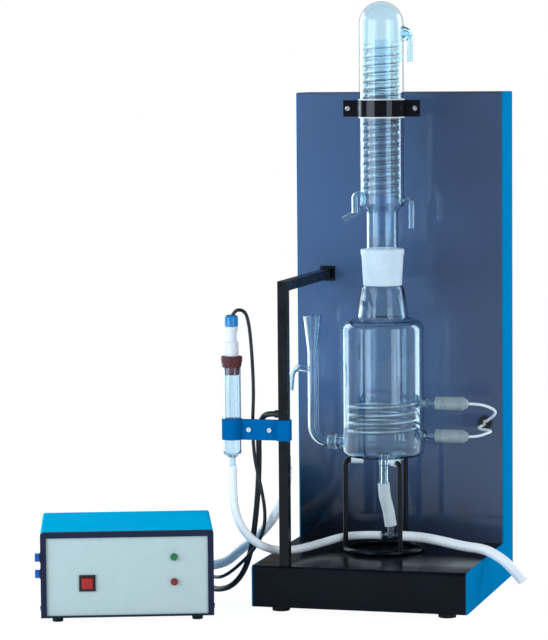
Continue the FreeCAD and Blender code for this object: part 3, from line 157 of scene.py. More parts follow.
def clouds(tree, size_mm, detail=3.0):
    """Share between 0 and 1 that wanders in clouds about size_mm across."""
    inputs = {"Value": grain(tree, size_mm, detail), "From Min": 0.3, "From Max": 0.7}
    return add_node(tree, "ShaderNodeMapRange", inputs).outputs["Result"]


def mottle(tree, shader, share, colours, roughness):
    """Mixes two colours, and two values of roughness, by the same share."""
    first, second = map(linear, colours)
    colour = add_node(tree, "ShaderNodeMix", {"Factor": share, 6: first, 7: second}, data_type="RGBA")
    smooth, dull = roughness
    rough = add_node(tree, "ShaderNodeMapRange", {"Value": share, "To Min": smooth, "To Max": dull})
    tree.links.new(colour.outputs[2], shader.inputs["Base Color"])
    tree.links.new(rough.outputs["Result"], shader.inputs["Roughness"])


def relief(tree, shader, height, depth_mm):
    """Relief that is depth_mm deep where its height goes from 0 to 1."""
    lift = add_node(tree, "ShaderNodeBump", {"Height": height, "Distance": depth_mm * MM, "Strength": 1.0})
    tree.links.new(lift.outputs["Normal"], shader.inputs["Normal"])


def enamelled_sheet(name, first, second, roughness, shine):
    """Steel sheet with baked enamel: an even shine over a faint orange peel."""
    material, tree, shader = principled(name, IOR=1.5, Specular_IOR_Level=shine)
    mottle(tree, shader, clouds(tree, 60.0), (first, second), (roughness * 0.7, roughness * 1.5))
    relief(tree, shader, grain(tree, 1.6, 1.0), 0.004)
    return material


def enamelled_panel_painted_reflection(name, left, right, foot, x_left, x_right):
    """Near-black gloss enamel under a painted reflection of the room's light: slate that turns bluer to the
    left and fades to near black towards the lower left corner.

    The right colour's share is a smooth step of x from one edge of the panel to the other, moved a little by
    clouds. The foot's colour fades out with a smooth step of 0.6 x + z.
    """
    material, tree, shader = principled(name, IOR=1.42)
    where = add_node(tree, "ShaderNodeTexCoord").outputs["Object"]
    axes = add_node(tree, "ShaderNodeSeparateXYZ", {"Vector": where}).outputs
    cloud = clouds(tree, 90.0, 2.0)
    wander = add_node(tree, "ShaderNodeMapRange", {"Value": cloud, "To Min": -0.08, "To Max": 0.08})
    across = add_node(tree, "ShaderNodeMapRange", {"Value": axes["X"], "From Min": x_left,
                                                   "From Max": x_right}, interpolation_type="SMOOTHSTEP")
    side = add_node(tree, "ShaderNodeMath", {0: across.outputs["Result"], 1: wander.outputs["Result"]},
                    operation="ADD", use_clamp=True)
    # Painted reflection of the room's light: slate to the right, bluer to the left
    slate = add_node(tree, "ShaderNodeMix", {"Factor": side.outputs[0], 6: linear(left), 7: linear(right)},
                     data_type="RGBA")
    slope = add_node(tree, "ShaderNodeMath", {0: axes["X"], 1: 0.6, 2: axes["Z"]}, operation="MULTIPLY_ADD")
    start = x_left * 0.6 + 0.1
    height = add_node(tree, "ShaderNodeMapRange", {"Value": slope.outputs[0], "From Min": start,
                                                   "From Max": start + 0.3}, interpolation_type="SMOOTHSTEP")
    # The painted reflection gives way to the near-black foot colour towards the lower left corner
    shade = add_node(tree, "ShaderNodeMix", {"Factor": height.outputs["Result"], 6: linear(foot),
                                             7: slate.outputs[2]}, data_type="RGBA")
    rough = add_node(tree, "ShaderNodeMapRange", {"Value": cloud, "To Min": 0.05, "To Max": 0.1})
    tree.links.new(shade.outputs[2], shader.inputs["Base Color"])
    tree.links.new(rough.outputs["Result"], shader.inputs["Roughness"])
    relief(tree, shader, grain(tree, 2.2, 1.0), 0.002)
    return material


def powder_coat(name, first, second):
    """Steel with powder coat: fine leathery grain, soft highlights."""
    material, tree, shader = principled(name, IOR=1.5, Specular_IOR_Level=0.2)
    mottle(tree, shader, clouds(tree, 25.0, 2.0), (first, second), (0.2, 0.32))
    relief(tree, shader, grain(tree, 0.9), 0.02)
    return material


def fused_quartz(name, tint, roughness=0.0, streak_mm=0.0):
    """Flame-worked fused quartz: nearly colourless, with faint draw lines, and it lets lamps through."""
    material, tree, out = new_material(name)
    glass = add_node(tree, "ShaderNodeBsdfPrincipled", {"Base Color": linear(tint), "Roughness": roughness,
                                                        "IOR": 1.458, "Transmission Weight": 1.0})
    if streak_mm:
        where = add_node(tree, "ShaderNodeTexCoord").outputs["Object"]
        drawn = add_node(tree, "ShaderNodeMapping", {"Vector": where, "Scale": (1.0, 1.0, 0.12)})
        lines = add_node(tree, "ShaderNodeTexNoise", {"Vector": drawn.outputs["Vector"], "Detail": 1.0,
                                                      "Scale": 1.0 / (streak_mm * MM)})
        relief(tree, glass, lines.outputs["Fac"], 0.025)
    clear = add_node(tree, "ShaderNodeBsdfTransparent", {"Color": (0.94, 0.96, 0.98, 1)})
    shadow = add_node(tree, "ShaderNodeLightPath").outputs["Is Shadow Ray"]
    mix = add_node(tree, "ShaderNodeMixShader", {0: shadow, 1: glass.outputs[0], 2: clear.outputs[0]})
    tree.links.new(mix.outputs[0], out.inputs["Surface"])
    return material


def thin_quartz(name, tint):
    """Thin quartz tube seen inside other glass: lets light straight through and shines at its edges."""
    material, tree, out = new_material(name)
    facing = add_node(tree, "ShaderNodeLayerWeight", {"Blend": 0.25}).outputs["Facing"]
    share = add_node(tree, "ShaderNodeMath", {0: facing, 1: 0.35}, operation="MULTIPLY").outputs[0]
    clear = add_node(tree, "ShaderNodeBsdfTransparent", {"Color": linear(tint)})
    shine = add_node(tree, "ShaderNodeBsdfGlossy", {"Color": linear(tint), "Roughness": 0.02})
    mix = add_node(tree, "ShaderNodeMixShader", {0: share, 1: clear.outputs[0], 2: shine.outputs[0]})
    tree.links.new(mix.outputs[0], out.inputs["Surface"])
    return material


def ground_quartz(name):
    """Ground joint of quartz: fine-ground white frost that still lets light in."""
    material, tree, shader = principled(name, IOR=1.458, Transmission_Weight=0.15)
    mottle(tree, shader, clouds(tree, 14.0), ("#d6eaf7", "#e4f2fb"), (0.45, 0.6))
    relief(tree, shader, grain(tree, 0.35, 1.0), 0.02)
    return material


def milky_silicone(name, first, second):
    """Extruded silicone hose: milky and soft-edged, with a waxy shine."""
    material, tree, shader = principled(name, IOR=1.41, Specular_IOR_Level=0.35, Subsurface_Weight=0.35,
                                        Subsurface_Radius=(1.0, 1.0, 1.0), Subsurface_Scale=3.0 * MM)
    mottle(tree, shader, clouds(tree, 30.0, 2.0), (first, second), (0.24, 0.34))
    return material


def moulded(name, first, second, roughness=0.35, grit_mm=0.5, depth_mm=0.01, **more):
    """Moulded or extruded plastic or rubber: even colour, fine grain of the tool, slightly cloudy shine."""
    material, tree, shader = principled(name, IOR=1.5, **more)
    mottle(tree, shader, clouds(tree, 18.0), (first, second), (roughness * 0.8, roughness * 1.25))
    relief(tree, shader, grain(tree, grit_mm), depth_mm)
    return material


def plated_steel(name, first, second, roughness):
    """Plated or polished steel: bright, with fine turning marks."""
    material, tree, shader = principled(name, Metallic=1.0)
    mottle(tree, shader, clouds(tree, 5.0), (first, second), (roughness * 0.7, roughness * 1.6))
    relief(tree, shader, grain(tree, 0.25, 1.0), 0.004)
    return material


def galvanised_sheet(name, spangle_mm=9.0):
    """Hot-dip galvanised steel: dull grey with spangle about a centimetre across."""
    material, tree, shader = principled(name, Metallic=1.0)
    where = add_node(tree, "ShaderNodeTexCoord").outputs["Object"]
    cells = add_node(tree, "ShaderNodeTexVoronoi", {"Vector": where, "Scale": 1.0 / (spangle_mm * MM)})
    share = add_node(tree, "ShaderNodeSeparateColor", {"Color": cells.outputs["Color"]}).outputs["Red"]
    mottle(tree, shader, share, ("#8f9499", "#b4b9bd"), (0.35, 0.5))
    return material


def resistance_wire(name):
    """Heater winding of dull alloy wire, close-wound.

    Its turns are too fine to show, so a painted sheen comes and goes slowly along the coil instead: the
    colour turns from dark to light grey once for each unit of the piece's own map. At scale 1 the wave
    texture would repeat every pi / 10.
    """
    material, tree, shader = principled(name, Metallic=0.8)
    way = add_node(tree, "ShaderNodeUVMap", uv_map="length").outputs["UV"]
    wave = add_node(tree, "ShaderNodeTexWave", {"Vector": way, "Scale": np.pi / 10},
                    wave_type="BANDS", bands_direction="X").outputs["Fac"]
    # Painted sheen: the colour goes from dark to light grey and back along the coil
    mottle(tree, shader, wave, ("#8e9296", "#d4d7d9"), (0.45, 0.45))
    relief(tree, shader, wave, 0.3)
    return material


def lens_plastic(name, colour, painted_glow):
    """Lamp lens moulded of coloured acrylic: clear and polished, with a faint painted glow though the lamp is
    off.
    """
    material, tree, shader = principled(name, IOR=1.49, Transmission_Weight=0.3,
                                        Emission_Color=linear(colour), Emission_Strength=painted_glow)
    mottle(tree, shader, clouds(tree, 2.0, 1.0), (colour, colour), (0.05, 0.12))
    return material


# Surfaces


def grid_faces(rows, cols, close_rows, close_cols):
    """Quads of a grid, wrapped round where a direction closes on itself."""
    u = np.arange(rows if close_rows else rows - 1)
    v = np.arange(cols if close_cols else cols - 1)
    uu, vv = np.meshgrid(u, v, indexing="ij")
    un, vn = (uu + 1) % rows, (vv + 1) % cols
    return np.stack([uu * cols + vv, uu * cols + vn, un * cols + vn, un * cols + vv], -1).reshape(-1, 4)


def outward(points, faces):
    """The faces, turned round if the shell's signed volume is negative."""
    a, b, c, d = (points[faces[:, k]] for k in range(4))
    volume = (np.einsum("ij,ij->i", a, np.cross(b, c)) + np.einsum("ij,ij->i", a, np.cross(c, d))).sum()
    return faces[:, ::-1] if volume < 0 else faces


def weld(piece):
    """Merges the doubled points at poles and seams."""
    shape = bmesh.new()
    shape.from_mesh(piece.data)
    bmesh.ops.remove_doubles(shape, verts=shape.verts, dist=1e-6)
    shape.to_mesh(piece.data)
    shape.free()


def skin(node, grids, material, name=None, replaces=True, uv=None):
    """One mesh for a CAD node out of grids: their points in metres, and whether rows and columns close."""
    name = name or node + "_visual"
    all_points, all_faces, start = [], [], 0
    for points, close_rows, close_cols in grids:
        rows, cols = points.shape[:2]
        flat = points.reshape(-1, 3)
        all_points.append(flat)
        all_faces.append(outward(flat, grid_faces(rows, cols, close_rows, close_cols)) + start)
        start += len(flat)
    points, faces = np.concatenate(all_points), np.concatenate(all_faces)
    mesh = bpy.data.meshes.new(name)
    mesh.vertices.add(len(points))
    mesh.vertices.foreach_set("co", points.astype(np.float32).ravel())
    mesh.loops.add(len(faces) * 4)
    mesh.loops.foreach_set("vertex_index", faces.astype(np.int32).ravel())
    mesh.polygons.add(len(faces))
    mesh.polygons.foreach_set("loop_start", np.arange(0, len(faces) * 4, 4, dtype=np.int32))
    mesh.update(calc_edges=True)
    if uv is not None:
        layer = mesh.uv_layers.new(name="length")
        layer.data.foreach_set("uv", uv[faces.ravel()].astype(np.float32).ravel())
    mesh.validate()
    mesh.shade_smooth()
    mesh.set_sharp_from_angle(angle=np.radians(SHARP_ANGLE))
    mesh.materials.append(material)
    piece = bpy.data.objects.new(name, mesh)
    bpy.context.scene.collection.objects.link(piece)
    weld(piece)
    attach(piece, body_of(node))
    if replaces:
        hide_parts(node)


def rounded(profile, closed=False):
    """Profile corners (r, z, radius) with each corner turned into a tangent arc, as an array of (r, z)."""
    corners = np.array([p[:2] for p in profile], float)
    radii = [p[2] if len(p) > 2 else 0.0 for p in profile]
    out = []
    count = len(corners)
    for i, (here, radius) in enumerate(zip(corners, radii)):
        if radius <= 0 or (not closed and i in (0, count - 1)):
            out.append(here[None])
            continue
        a, b = corners[i - 1] - here, corners[(i + 1) % count] - here
        a, b = a / np.hypot(*a), b / np.hypot(*b)
        half = np.arccos(np.clip(a @ b, -1, 1)) / 2
        centre = here + (a + b) / np.hypot(*(a + b)) * radius / np.sin(half)
        start, stop = here + a * radius / np.tan(half) - centre, here + b * radius / np.tan(half) - centre
        turn = np.pi - 2 * half
        side = np.sign(start[0] * stop[1] - start[1] * stop[0])
        angles = np.linspace(0, turn, max(3, int(np.degrees(turn) / CORNER_STEP) + 2)) * side
        cos, sin = np.cos(angles), np.sin(angles)
        out.append(centre + np.stack([start[0] * cos - start[1] * sin, start[0] * sin + start[1] * cos], -1))
    return np.concatenate(out)


def turned(profile, x=GLASS_X, y=GLASS_Y, closed=False, sides=128):
    """Surface of revolution about a vertical axis: each profile point (r, z), in mm, goes round a circle."""
    line = rounded(profile, closed)
    angle = np.linspace(0, 2 * np.pi, sides, endpoint=False)
    r, z = line[:, 0][:, None], line[:, 1][:, None]
    points = np.stack([x + r * np.cos(angle), y + r * np.sin(angle), z + 0 * angle], -1)
    return points * MM + STAND, closed, True


def turned_along(profile, start, direction, closed=False, sides=48):
    """Surface of revolution about any axis: profile points are (radius, way along the axis), in mm."""
    line = rounded(profile, closed)
    d = np.array(direction, float) / np.linalg.norm(direction)
    a = np.cross(d, (0, 0, 1) if abs(d[2]) < 0.9 else (1, 0, 0))
    a = a / np.linalg.norm(a)
    b = np.cross(d, a)
    angle = np.linspace(0, 2 * np.pi, sides, endpoint=False)
    ring = np.cos(angle)[:, None] * a + np.sin(angle)[:, None] * b
    points = np.array(start, float) + line[:, 1][:, None, None] * d + line[:, 0][:, None, None] * ring
    return points * MM + STAND, closed, True


def bent_line(points, radii):
    """Points along straight runs joined by tangent arcs: centre + start cos a + heading sin a."""
    points = np.array(points, float)
    out = [points[:1]]
    for i in range(1, len(points) - 1):
        here = points[i]
        a, b = points[i - 1] - here, points[i + 1] - here
        a, b = a / np.linalg.norm(a), b / np.linalg.norm(b)
        half = np.arccos(np.clip(a @ b, -1, 1)) / 2
        centre = here + (a + b) / np.linalg.norm(a + b) * radii[i] / np.sin(half)
        start = here + a * radii[i] / np.tan(half) - centre
        turn = np.pi - 2 * half
        angles = np.linspace(0, turn, max(4, int(np.degrees(turn) / BEND_STEP) + 2))[:, None]
        out.append(centre + start * np.cos(angles) - a * radii[i] * np.sin(angles))
    out.append(points[-1:])
    return np.concatenate(out)


def along(line, radius, sides=24, ends=True):
    """Tube round a line: a ring is carried along it without twist, and its ends draw in to a point."""
    line = np.asarray(line, float)
    tangent = np.gradient(line, axis=0)
    tangent /= np.linalg.norm(tangent, axis=1)[:, None]
    normal = np.cross(tangent[0], (0, 0, 1) if abs(tangent[0][2]) < 0.9 else (0, 1, 0))
    normals = [normal / np.linalg.norm(normal)]
    for t in tangent[1:]:
        n = normals[-1] - t * (normals[-1] @ t)
        normals.append(n / np.linalg.norm(n))
    normals = np.array(normals)
    across = np.cross(tangent, normals)
    angle = np.linspace(0, 2 * np.pi, sides, endpoint=False)
    ring = np.cos(angle)[None, :, None] * normals[:, None] + np.sin(angle)[None, :, None] * across[:, None]
    points = line[:, None] + ring * radius
    if ends:
        first, last = np.repeat(line[:1], sides, 0)[None], np.repeat(line[-1:], sides, 0)[None]
        points = np.concatenate([first, points, last])
    return points * MM + STAND, False, True


def glass_tube(line, radius, wall, sides=32):
    """Open tube with a wall: out along the outside, round the rim and back along the inside."""
    outer = along(line, radius, sides, ends=False)[0]
    inner = along(line, radius - wall, sides, ends=False)[0]
    return np.concatenate([outer, inner[::-1]]), True, True


def coil_line(z, radius, pitch, turns, steps):
    """Helix about the glass axis: radius (cos a, sin a) and a rise of one pitch for each turn of a."""
    t = np.linspace(0, turns, int(steps * turns) + 1)
    angle = 2 * np.pi * t
    return np.stack([GLASS_X + radius * np.cos(angle), GLASS_Y + radius * np.sin(angle), z + pitch * t], -1)


def dress(material, *nodes):
    """CAD nodes keep their shape and get a material."""
    for node in nodes:
        mesh = frame["nodes"][node].data
        mesh.materials.clear()
        mesh.materials.append(material)


# Sizes and colours that a user may change


def number(name, text, default, **more):
    """A size, an angle or a strength, with its limits and its unit."""
    return bpy.props.FloatProperty(name=name, description=text, default=default, **more)


def hex_colour(name, text, default):
    """A colour as sRGB hex."""
    return bpy.props.StringProperty(name=name, description=text + ", hex", default=default)


class STILL_PG_glass(bpy.types.PropertyGroup):
    """Sizes of the glassware and its heater."""
    boiler_radius: number("Boiler radius", "Boiler's outside, in millimetres", BOILER_R, min=30, max=120)
    boiler_wall: number("Boiler wall", "Boiler's wall, in millimetres", 3.0, min=1.5, max=6.0)
    jacket_radius: number("Jacket radius", "Condenser's outside, in millimetres", JACKET_R, min=20, max=60)
    jacket_wall: number("Jacket wall", "Condenser's wall, in millimetres", 2.5, min=1.0, max=5.0)
    coil_turns: bpy.props.IntProperty(name="Coil turns", description="Turns of the cooling coil",
                                      default=19, min=4, max=40)
    heater_turns: bpy.props.IntProperty(name="Heater turns", description="Turns of the heater",
                                        default=4, min=1, max=8)
    tint: hex_colour("Quartz tint", "Colour of clear quartz", "#daeef7")


class STILL_PG_paint(bpy.types.PropertyGroup):
    """Colours of the painted sheet and the box."""
    base: hex_colour("Base", "Base enamel", "#070b12")
    # The panel's left and right colours are a painted reflection of the room's light on near-black enamel
    panel_left: hex_colour("Panel, left", "Panel's left side", "#4d688e")
    panel_right: hex_colour("Panel, right", "Panel's right side", "#42506b")
    panel_foot: hex_colour("Panel, foot", "Panel's lower left", "#0d1119")
    cheek: hex_colour("Cheeks", "Side sheets", "#0271a3")
    box: hex_colour("Controller", "Controller's cover", "#02b6e7")
    face: hex_colour("Face", "Controller's panel", "#b9cac9")


class STILL_PG_stage(bpy.types.PropertyGroup):
    """Floor, lamps and camera."""
    lens: number("Lens", "Focal length", 167.5, min=50, max=400, unit="CAMERA")
    distance: number("Distance", "Camera to target", 4.757667, unit="LENGTH")
    azimuth: number("Azimuth", "Camera's turn round the object", np.radians(15.421), subtype="ANGLE")
    elevation: number("Elevation", "Camera's height over the horizon", np.radians(5.011), subtype="ANGLE")
    roll: number("Roll", "Camera's turn about the view line", np.radians(-0.489), subtype="ANGLE")
    key: number("Key", "Left softbox", 43.0, min=0, unit="POWER")
    fill: number("Fill", "Right softbox", 19.0, min=0, unit="POWER")
    edge: number("Edge lights", "Left strip behind the object; the right one has a fifth more", 22.0, min=0,
                 unit="POWER")
    light: hex_colour("Light", "Colour of the lamps", "#dcefff")
    sky: number("Room light", "Strength of the room as light", 0.4, min=0, max=1, subtype="FACTOR")
    mirrored: number("Mirrored room", "Strength of the room in reflections", 0.15, min=0, max=1,
                     subtype="FACTOR")


def seen(tree):
    """Outputs of a light path, and 1 where the surface is seen directly or through glass."""
    path = add_node(tree, "ShaderNodeLightPath").outputs
    either = {0: path["Is Camera Ray"], 1: path["Is Transmission Ray"]}
    return path, add_node(tree, "ShaderNodeMath", either, operation="MAXIMUM").outputs[0]


class STILL_OT_stage(bpy.types.Operator):
    """Floor, room light, softboxes and the camera at the photograph's angle"""
    bl_idname = "still.stage"
    bl_label = "Stage"

    def execute(self, context):
        scene, s = context.scene, context.scene.still_stage
        scene.view_settings.view_transform = "Standard"
        self.camera(scene, s)
        self.room(scene, s)
        self.floor(scene)
        # Each lamp's turn about the object in degrees, then metres away, wide and high, and its watts
        self.lamp(scene, s, "softbox_left", -41.0, 2.4, 1.8, 1.9, s.key)
        self.lamp(scene, s, "softbox_right", 50.0, 2.4, 1.1, 1.9, s.fill)
        self.lamp(scene, s, "strip_left", -116.0, 1.8, 1.1, 1.7, s.edge)
        self.lamp(scene, s, "strip_right", 131.0, 1.8, 0.9, 1.7, s.edge * 1.2)
        return {"FINISHED"}

    def lamp(self, scene, s, name, turn, away, wide, high, watts):
        """Upright soft lamp 0.3 m above the object's middle and turned towards it."""
        target, angle = Vector((0.15, 0.05, 0.5)), np.radians(turn)
        lamp = bpy.data.lights.new(name, "AREA")
        lamp.shape, lamp.size, lamp.size_y, lamp.energy = "RECTANGLE", wide, high, watts
        lamp.color = linear(s.light)[:3]
        holder = bpy.data.objects.new(name, lamp)
        holder.location = target + Vector((np.sin(angle) * away, -np.cos(angle) * away, 0.3))
        holder.rotation_euler = (target - holder.location).to_track_quat("-Z", "Y").to_euler()
        scene.collection.objects.link(holder)

    def camera(self, scene, s):
        """Camera on a line of sight given by azimuth and elevation, rolled a little, long lens."""
        az, el, roll = s.azimuth, s.elevation, s.roll
        back = np.array((np.sin(az) * np.cos(el), -np.cos(az) * np.cos(el), np.sin(el)))
        right = np.cross(-back, (0, 0, 1))
        right /= np.linalg.norm(right)
        up = np.cross(right, -back)
        target = np.array((-181.448, 0.0, 439.289)) * MM + STAND      # middle of the picture
        data = bpy.data.cameras.new("camera")
        data.lens, data.sensor_width, data.sensor_fit, data.clip_end = s.lens, 36.0, "AUTO", 50.0
        camera = bpy.data.objects.new("camera", data)
        axes = np.eye(4)
        axes[:3, 0] = np.cos(roll) * right + np.sin(roll) * up
        axes[:3, 1] = -np.sin(roll) * right + np.cos(roll) * up
        axes[:3, 2] = back
        axes[:3, 3] = target + back * s.distance
        camera.matrix_world = Matrix(axes.tolist())
        scene.collection.objects.link(camera)
        scene.camera = camera

    def room(self, scene, s):
        """White where it is seen directly or through glass, dimmer as light and in reflections."""
        world = bpy.data.worlds.new("room")
        world.use_nodes = True
        tree = world.node_tree
        tree.nodes.clear()
        path, straight = seen(tree)
        dim = add_node(tree, "ShaderNodeMapRange", {"Value": path["Is Glossy Ray"], "To Min": s.sky,
                                                    "To Max": s.mirrored})
        strength = add_node(tree, "ShaderNodeMapRange", {"Value": straight, "To Min": dim.outputs["Result"],
                                                         "To Max": 1.0})
        light = add_node(tree, "ShaderNodeBackground", {"Color": (1, 1, 1, 1),
                                                        "Strength": strength.outputs["Result"]})
        out = add_node(tree, "ShaderNodeOutputWorld")
        tree.links.new(light.outputs[0], out.inputs["Surface"])
        scene.world = world

    def floor(self, scene):
        """Plain pale floor, a flat square well past the picture."""
        edge = np.linspace(-6, 6, 9)
        x, y = np.meshgrid(edge, edge, indexing="ij")
        points = np.stack([x, y, np.full_like(x, -0.0005)], -1)
        mesh = bpy.data.meshes.new("floor")
        mesh.from_pydata(points.reshape(-1, 3).tolist(), [], grid_faces(9, 9, False, False)[:, ::-1].tolist())
        floor = bpy.data.objects.new("floor", mesh)
        scene.collection.objects.link(floor)
        material, tree, out = new_material("matt_white_floor")
        matt = add_node(tree, "ShaderNodeBsdfDiffuse", {"Color": (0.95, 0.95, 0.95, 1)})
        lit = add_node(tree, "ShaderNodeEmission", {"Color": (1, 1, 1, 1), "Strength": 1.07})
        share = add_node(tree, "ShaderNodeMath", {0: seen(tree)[1], 1: 0.9}, operation="MULTIPLY").outputs[0]
        mix = add_node(tree, "ShaderNodeMixShader", {0: share, 1: matt.outputs[0], 2: lit.outputs[0]})
        tree.links.new(mix.outputs[0], out.inputs["Surface"])
        mesh.materials.append(material)


# Each cord's node, what it is made of, diameter, length, what its far end meets, and its route
CORDS = (
    ("sensor_hose", "hose", 13.0, 392.7, "object", [
        (-202.5, -172, 227), (-202.5, -172, 192), (-200, -171.5, 158), (-190, -169, 129), (-170, -162, 106),
        (-148, -144, 92.5), (-130, -110, 86.5), (-114, -66, 85), (-96, -22, 87), (-70, 7, 93), (-34, 8, 96.5),
        (-9, 6, 97)]),
    ("drain_hose", "hose", 16.0, 233.1, "bare", [
        (23, 6, 97), (54, 4, 97), (92, -4, 92.5), (130, -15, 87), (166, -29, 86.5), (194, -42, 76),
        (214, -50, 61), (232, -56, 43)]),
    ("water_hose", "hose", 15.0, 290.7, "object", [
        (-120.5, -150.5, 224), (-122, -150, 190), (-137, -140, 158), (-162, -116, 126), (-192, -86, 100),
        (-224, -57, 76), (-257.031, -48.498, 48), (-288.326, -58.969, 48)]),
    ("sensor_cable", "cable", 5.5, 689.7, "object", [
        (-200, -172, 462), (-196.5, -172, 467.5), (-191, -172, 469.8), (-184.8, -171.5, 469),
        (-179.8, -171, 464.8), (-177, -170.5, 457.5), (-174.5, -169.5, 444), (-172.5, -168, 421),
        (-171, -165, 385), (-171, -160, 340), (-175, -155, 285), (-173, -152, 235), (-163, -150, 192),
        (-157, -147, 150), (-163, -141, 117), (-183, -131, 87), (-213, -112, 59), (-245, -84, 36),
        (-272, -52, 29), (-300, -30, 34), (-326, -22, 52), (-341, -33, 74), (-337.347, -54.282, 88),
        (-330.366, -75.145, 88)]),
    ("heater_cable", "cable", 9.0, 635.6, "object", [
        (-133.5, -172, 309.6), (-146, -172, 309.6), (-156, -165, 303), (-164, -153, 287), (-167, -148, 268),
        (-168, -143, 235), (-172, -136, 185), (-180, -127, 130), (-190, -116, 85), (-205, -104, 49),
        (-230, -86, 22), (-262, -58, 10), (-288, -22, 8), (-318, 6, 18), (-352, 16, 38), (-378, 0, 62),
        (-380, -28, 82), (-368.334, -56.214, 88), (-358.815, -84.664, 88)]),
    ("heater_lead_upper", "lead", 4.4, 167.6, "object", [
        (134.3, 0, 311.5), (148.3, -2, 312), (164.3, 8, 307.5), (176.3, 30, 295.5), (148.8, 67.6, 275.1),
        (140, 91, 272.1), (140, 125, 272.1)]),
    ("heater_lead_lower", "lead", 4.4, 157.0, "object", [
        (134.3, 0, 259.5), (148.3, -2, 260), (160.3, 10, 263.5), (167.3, 34, 265.5), (133.4, 67.6, 264.1),
        (140, 91, 267.1), (140, 125, 267.1)]),
)


class STILL_OT_cords(bpy.types.Operator):
    """Silicone hoses and black cables, each one smooth line along its route"""
    bl_idname = "still.cords"
    bl_label = "Hoses and cables"

    def execute(self, context):
        kinds = {"hose": (milky_silicone("extruded_silicone_hose", "#f6fbfe", "#fbfeff"), "clear_silicone"),
                 "cable": (moulded("extruded_pvc_cable", "#0c0d10", "#111215", 0.38, 0.6), "black_rubber"),
                 # Braided glass fibre: dull and coarse, drawn wider than its threads
                 "lead": (moulded("braided_glassfibre_lead", "#d3dbdf", "#e4eaed", 0.55, 0.7, 0.05),
                          "white_silicone")}
        for name, kind, diameter, length, far, route in CORDS:
            curve = bpy.data.curves.new(name, "CURVE")
            curve.dimensions = "3D"
            spline = curve.splines.new("NURBS")
            spline.points.add(len(route) - 1)
            points = np.array(route, float) * MM + STAND
            spline.points.foreach_set("co", np.column_stack([points, np.ones(len(points))]).ravel())
            spline.order_u = 3
            spline.use_endpoint_u = True
            spline.resolution_u = 14
            curve.bevel_depth = diameter / 2 * MM
            curve.bevel_resolution = 6
            curve.use_fill_caps = True
            material, slot = kinds[kind]
            curve.materials.append(material)
            piece = bpy.data.objects.new(name + "_visual", curve)
            context.scene.collection.objects.link(piece)
            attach(piece, "still")
            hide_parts(name)
        return {"FINISHED"}


class STILL_OT_stand(bpy.types.Operator):
    """Base, cheeks, cabinet, tripod, post and clamp: painted sheet and rod with their own finish"""
    bl_idname = "still.stand"
    bl_label = "Stand"

    def execute(self, context):
        p = context.scene.still_paint
        left, right = (corner[X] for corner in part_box("cabinet_front"))
        # The panel's slate and blue are a painted reflection on near-black enamel
        dress(enamelled_panel_painted_reflection("gloss_enamel_painted_reflection", p.panel_left, p.panel_right, p.panel_foot, left, right),
              "cabinet_front")
        # Baked enamel: the base mirrors the room softly, the clamp shines, and the blue sheet is nearly matt
        dress(enamelled_sheet("black_gloss_enamel", p.base, "#0a0f17", 0.22, 0.12),
              "base_cover", "cabinet_back")
        dress(enamelled_sheet("black_clamp_enamel", "#0a0d13", "#0e131b", 0.09, 0.35),
              "clamp_band", "clamp_saddle")
        dress(enamelled_sheet("blue_satin_enamel", p.cheek, "#0275a7", 0.45, 0.0),
              "cheek_left", "cheek_right")
        dress(enamelled_sheet("blue_bracket_enamel", "#02609c", "#0264a2", 0.4, 0.0),
              "bracket_front", "bracket_back")
        dress(powder_coat("black_powder_coat", "#070a10", "#0c1119"), "tripod", "post", "post_arm")
        # Bare steel below, bright screw heads, dull rubber and a waxy strip
        dress(galvanised_sheet("galvanised_sheet"), "base_plate")
        dress(plated_steel("zinc_plated_screw", "#b9bcc2", "#d9dce0", 0.22), "machine_screws")
        dress(moulded("moulded_black_rubber", "#0b0b0c", "#151517", 0.6, 0.8, 0.03),
              "rubber_feet", "lead_grommet")
        dress(moulded("white_silicone_strip", "#dfe3e6", "#f2f4f5", 0.4, 0.6), "clamp_liner")
        dress(moulded("ceramic_filled_terminal", "#b8b09a", "#cfc7b2", 0.5), "terminal_block")
        return {"FINISHED"}


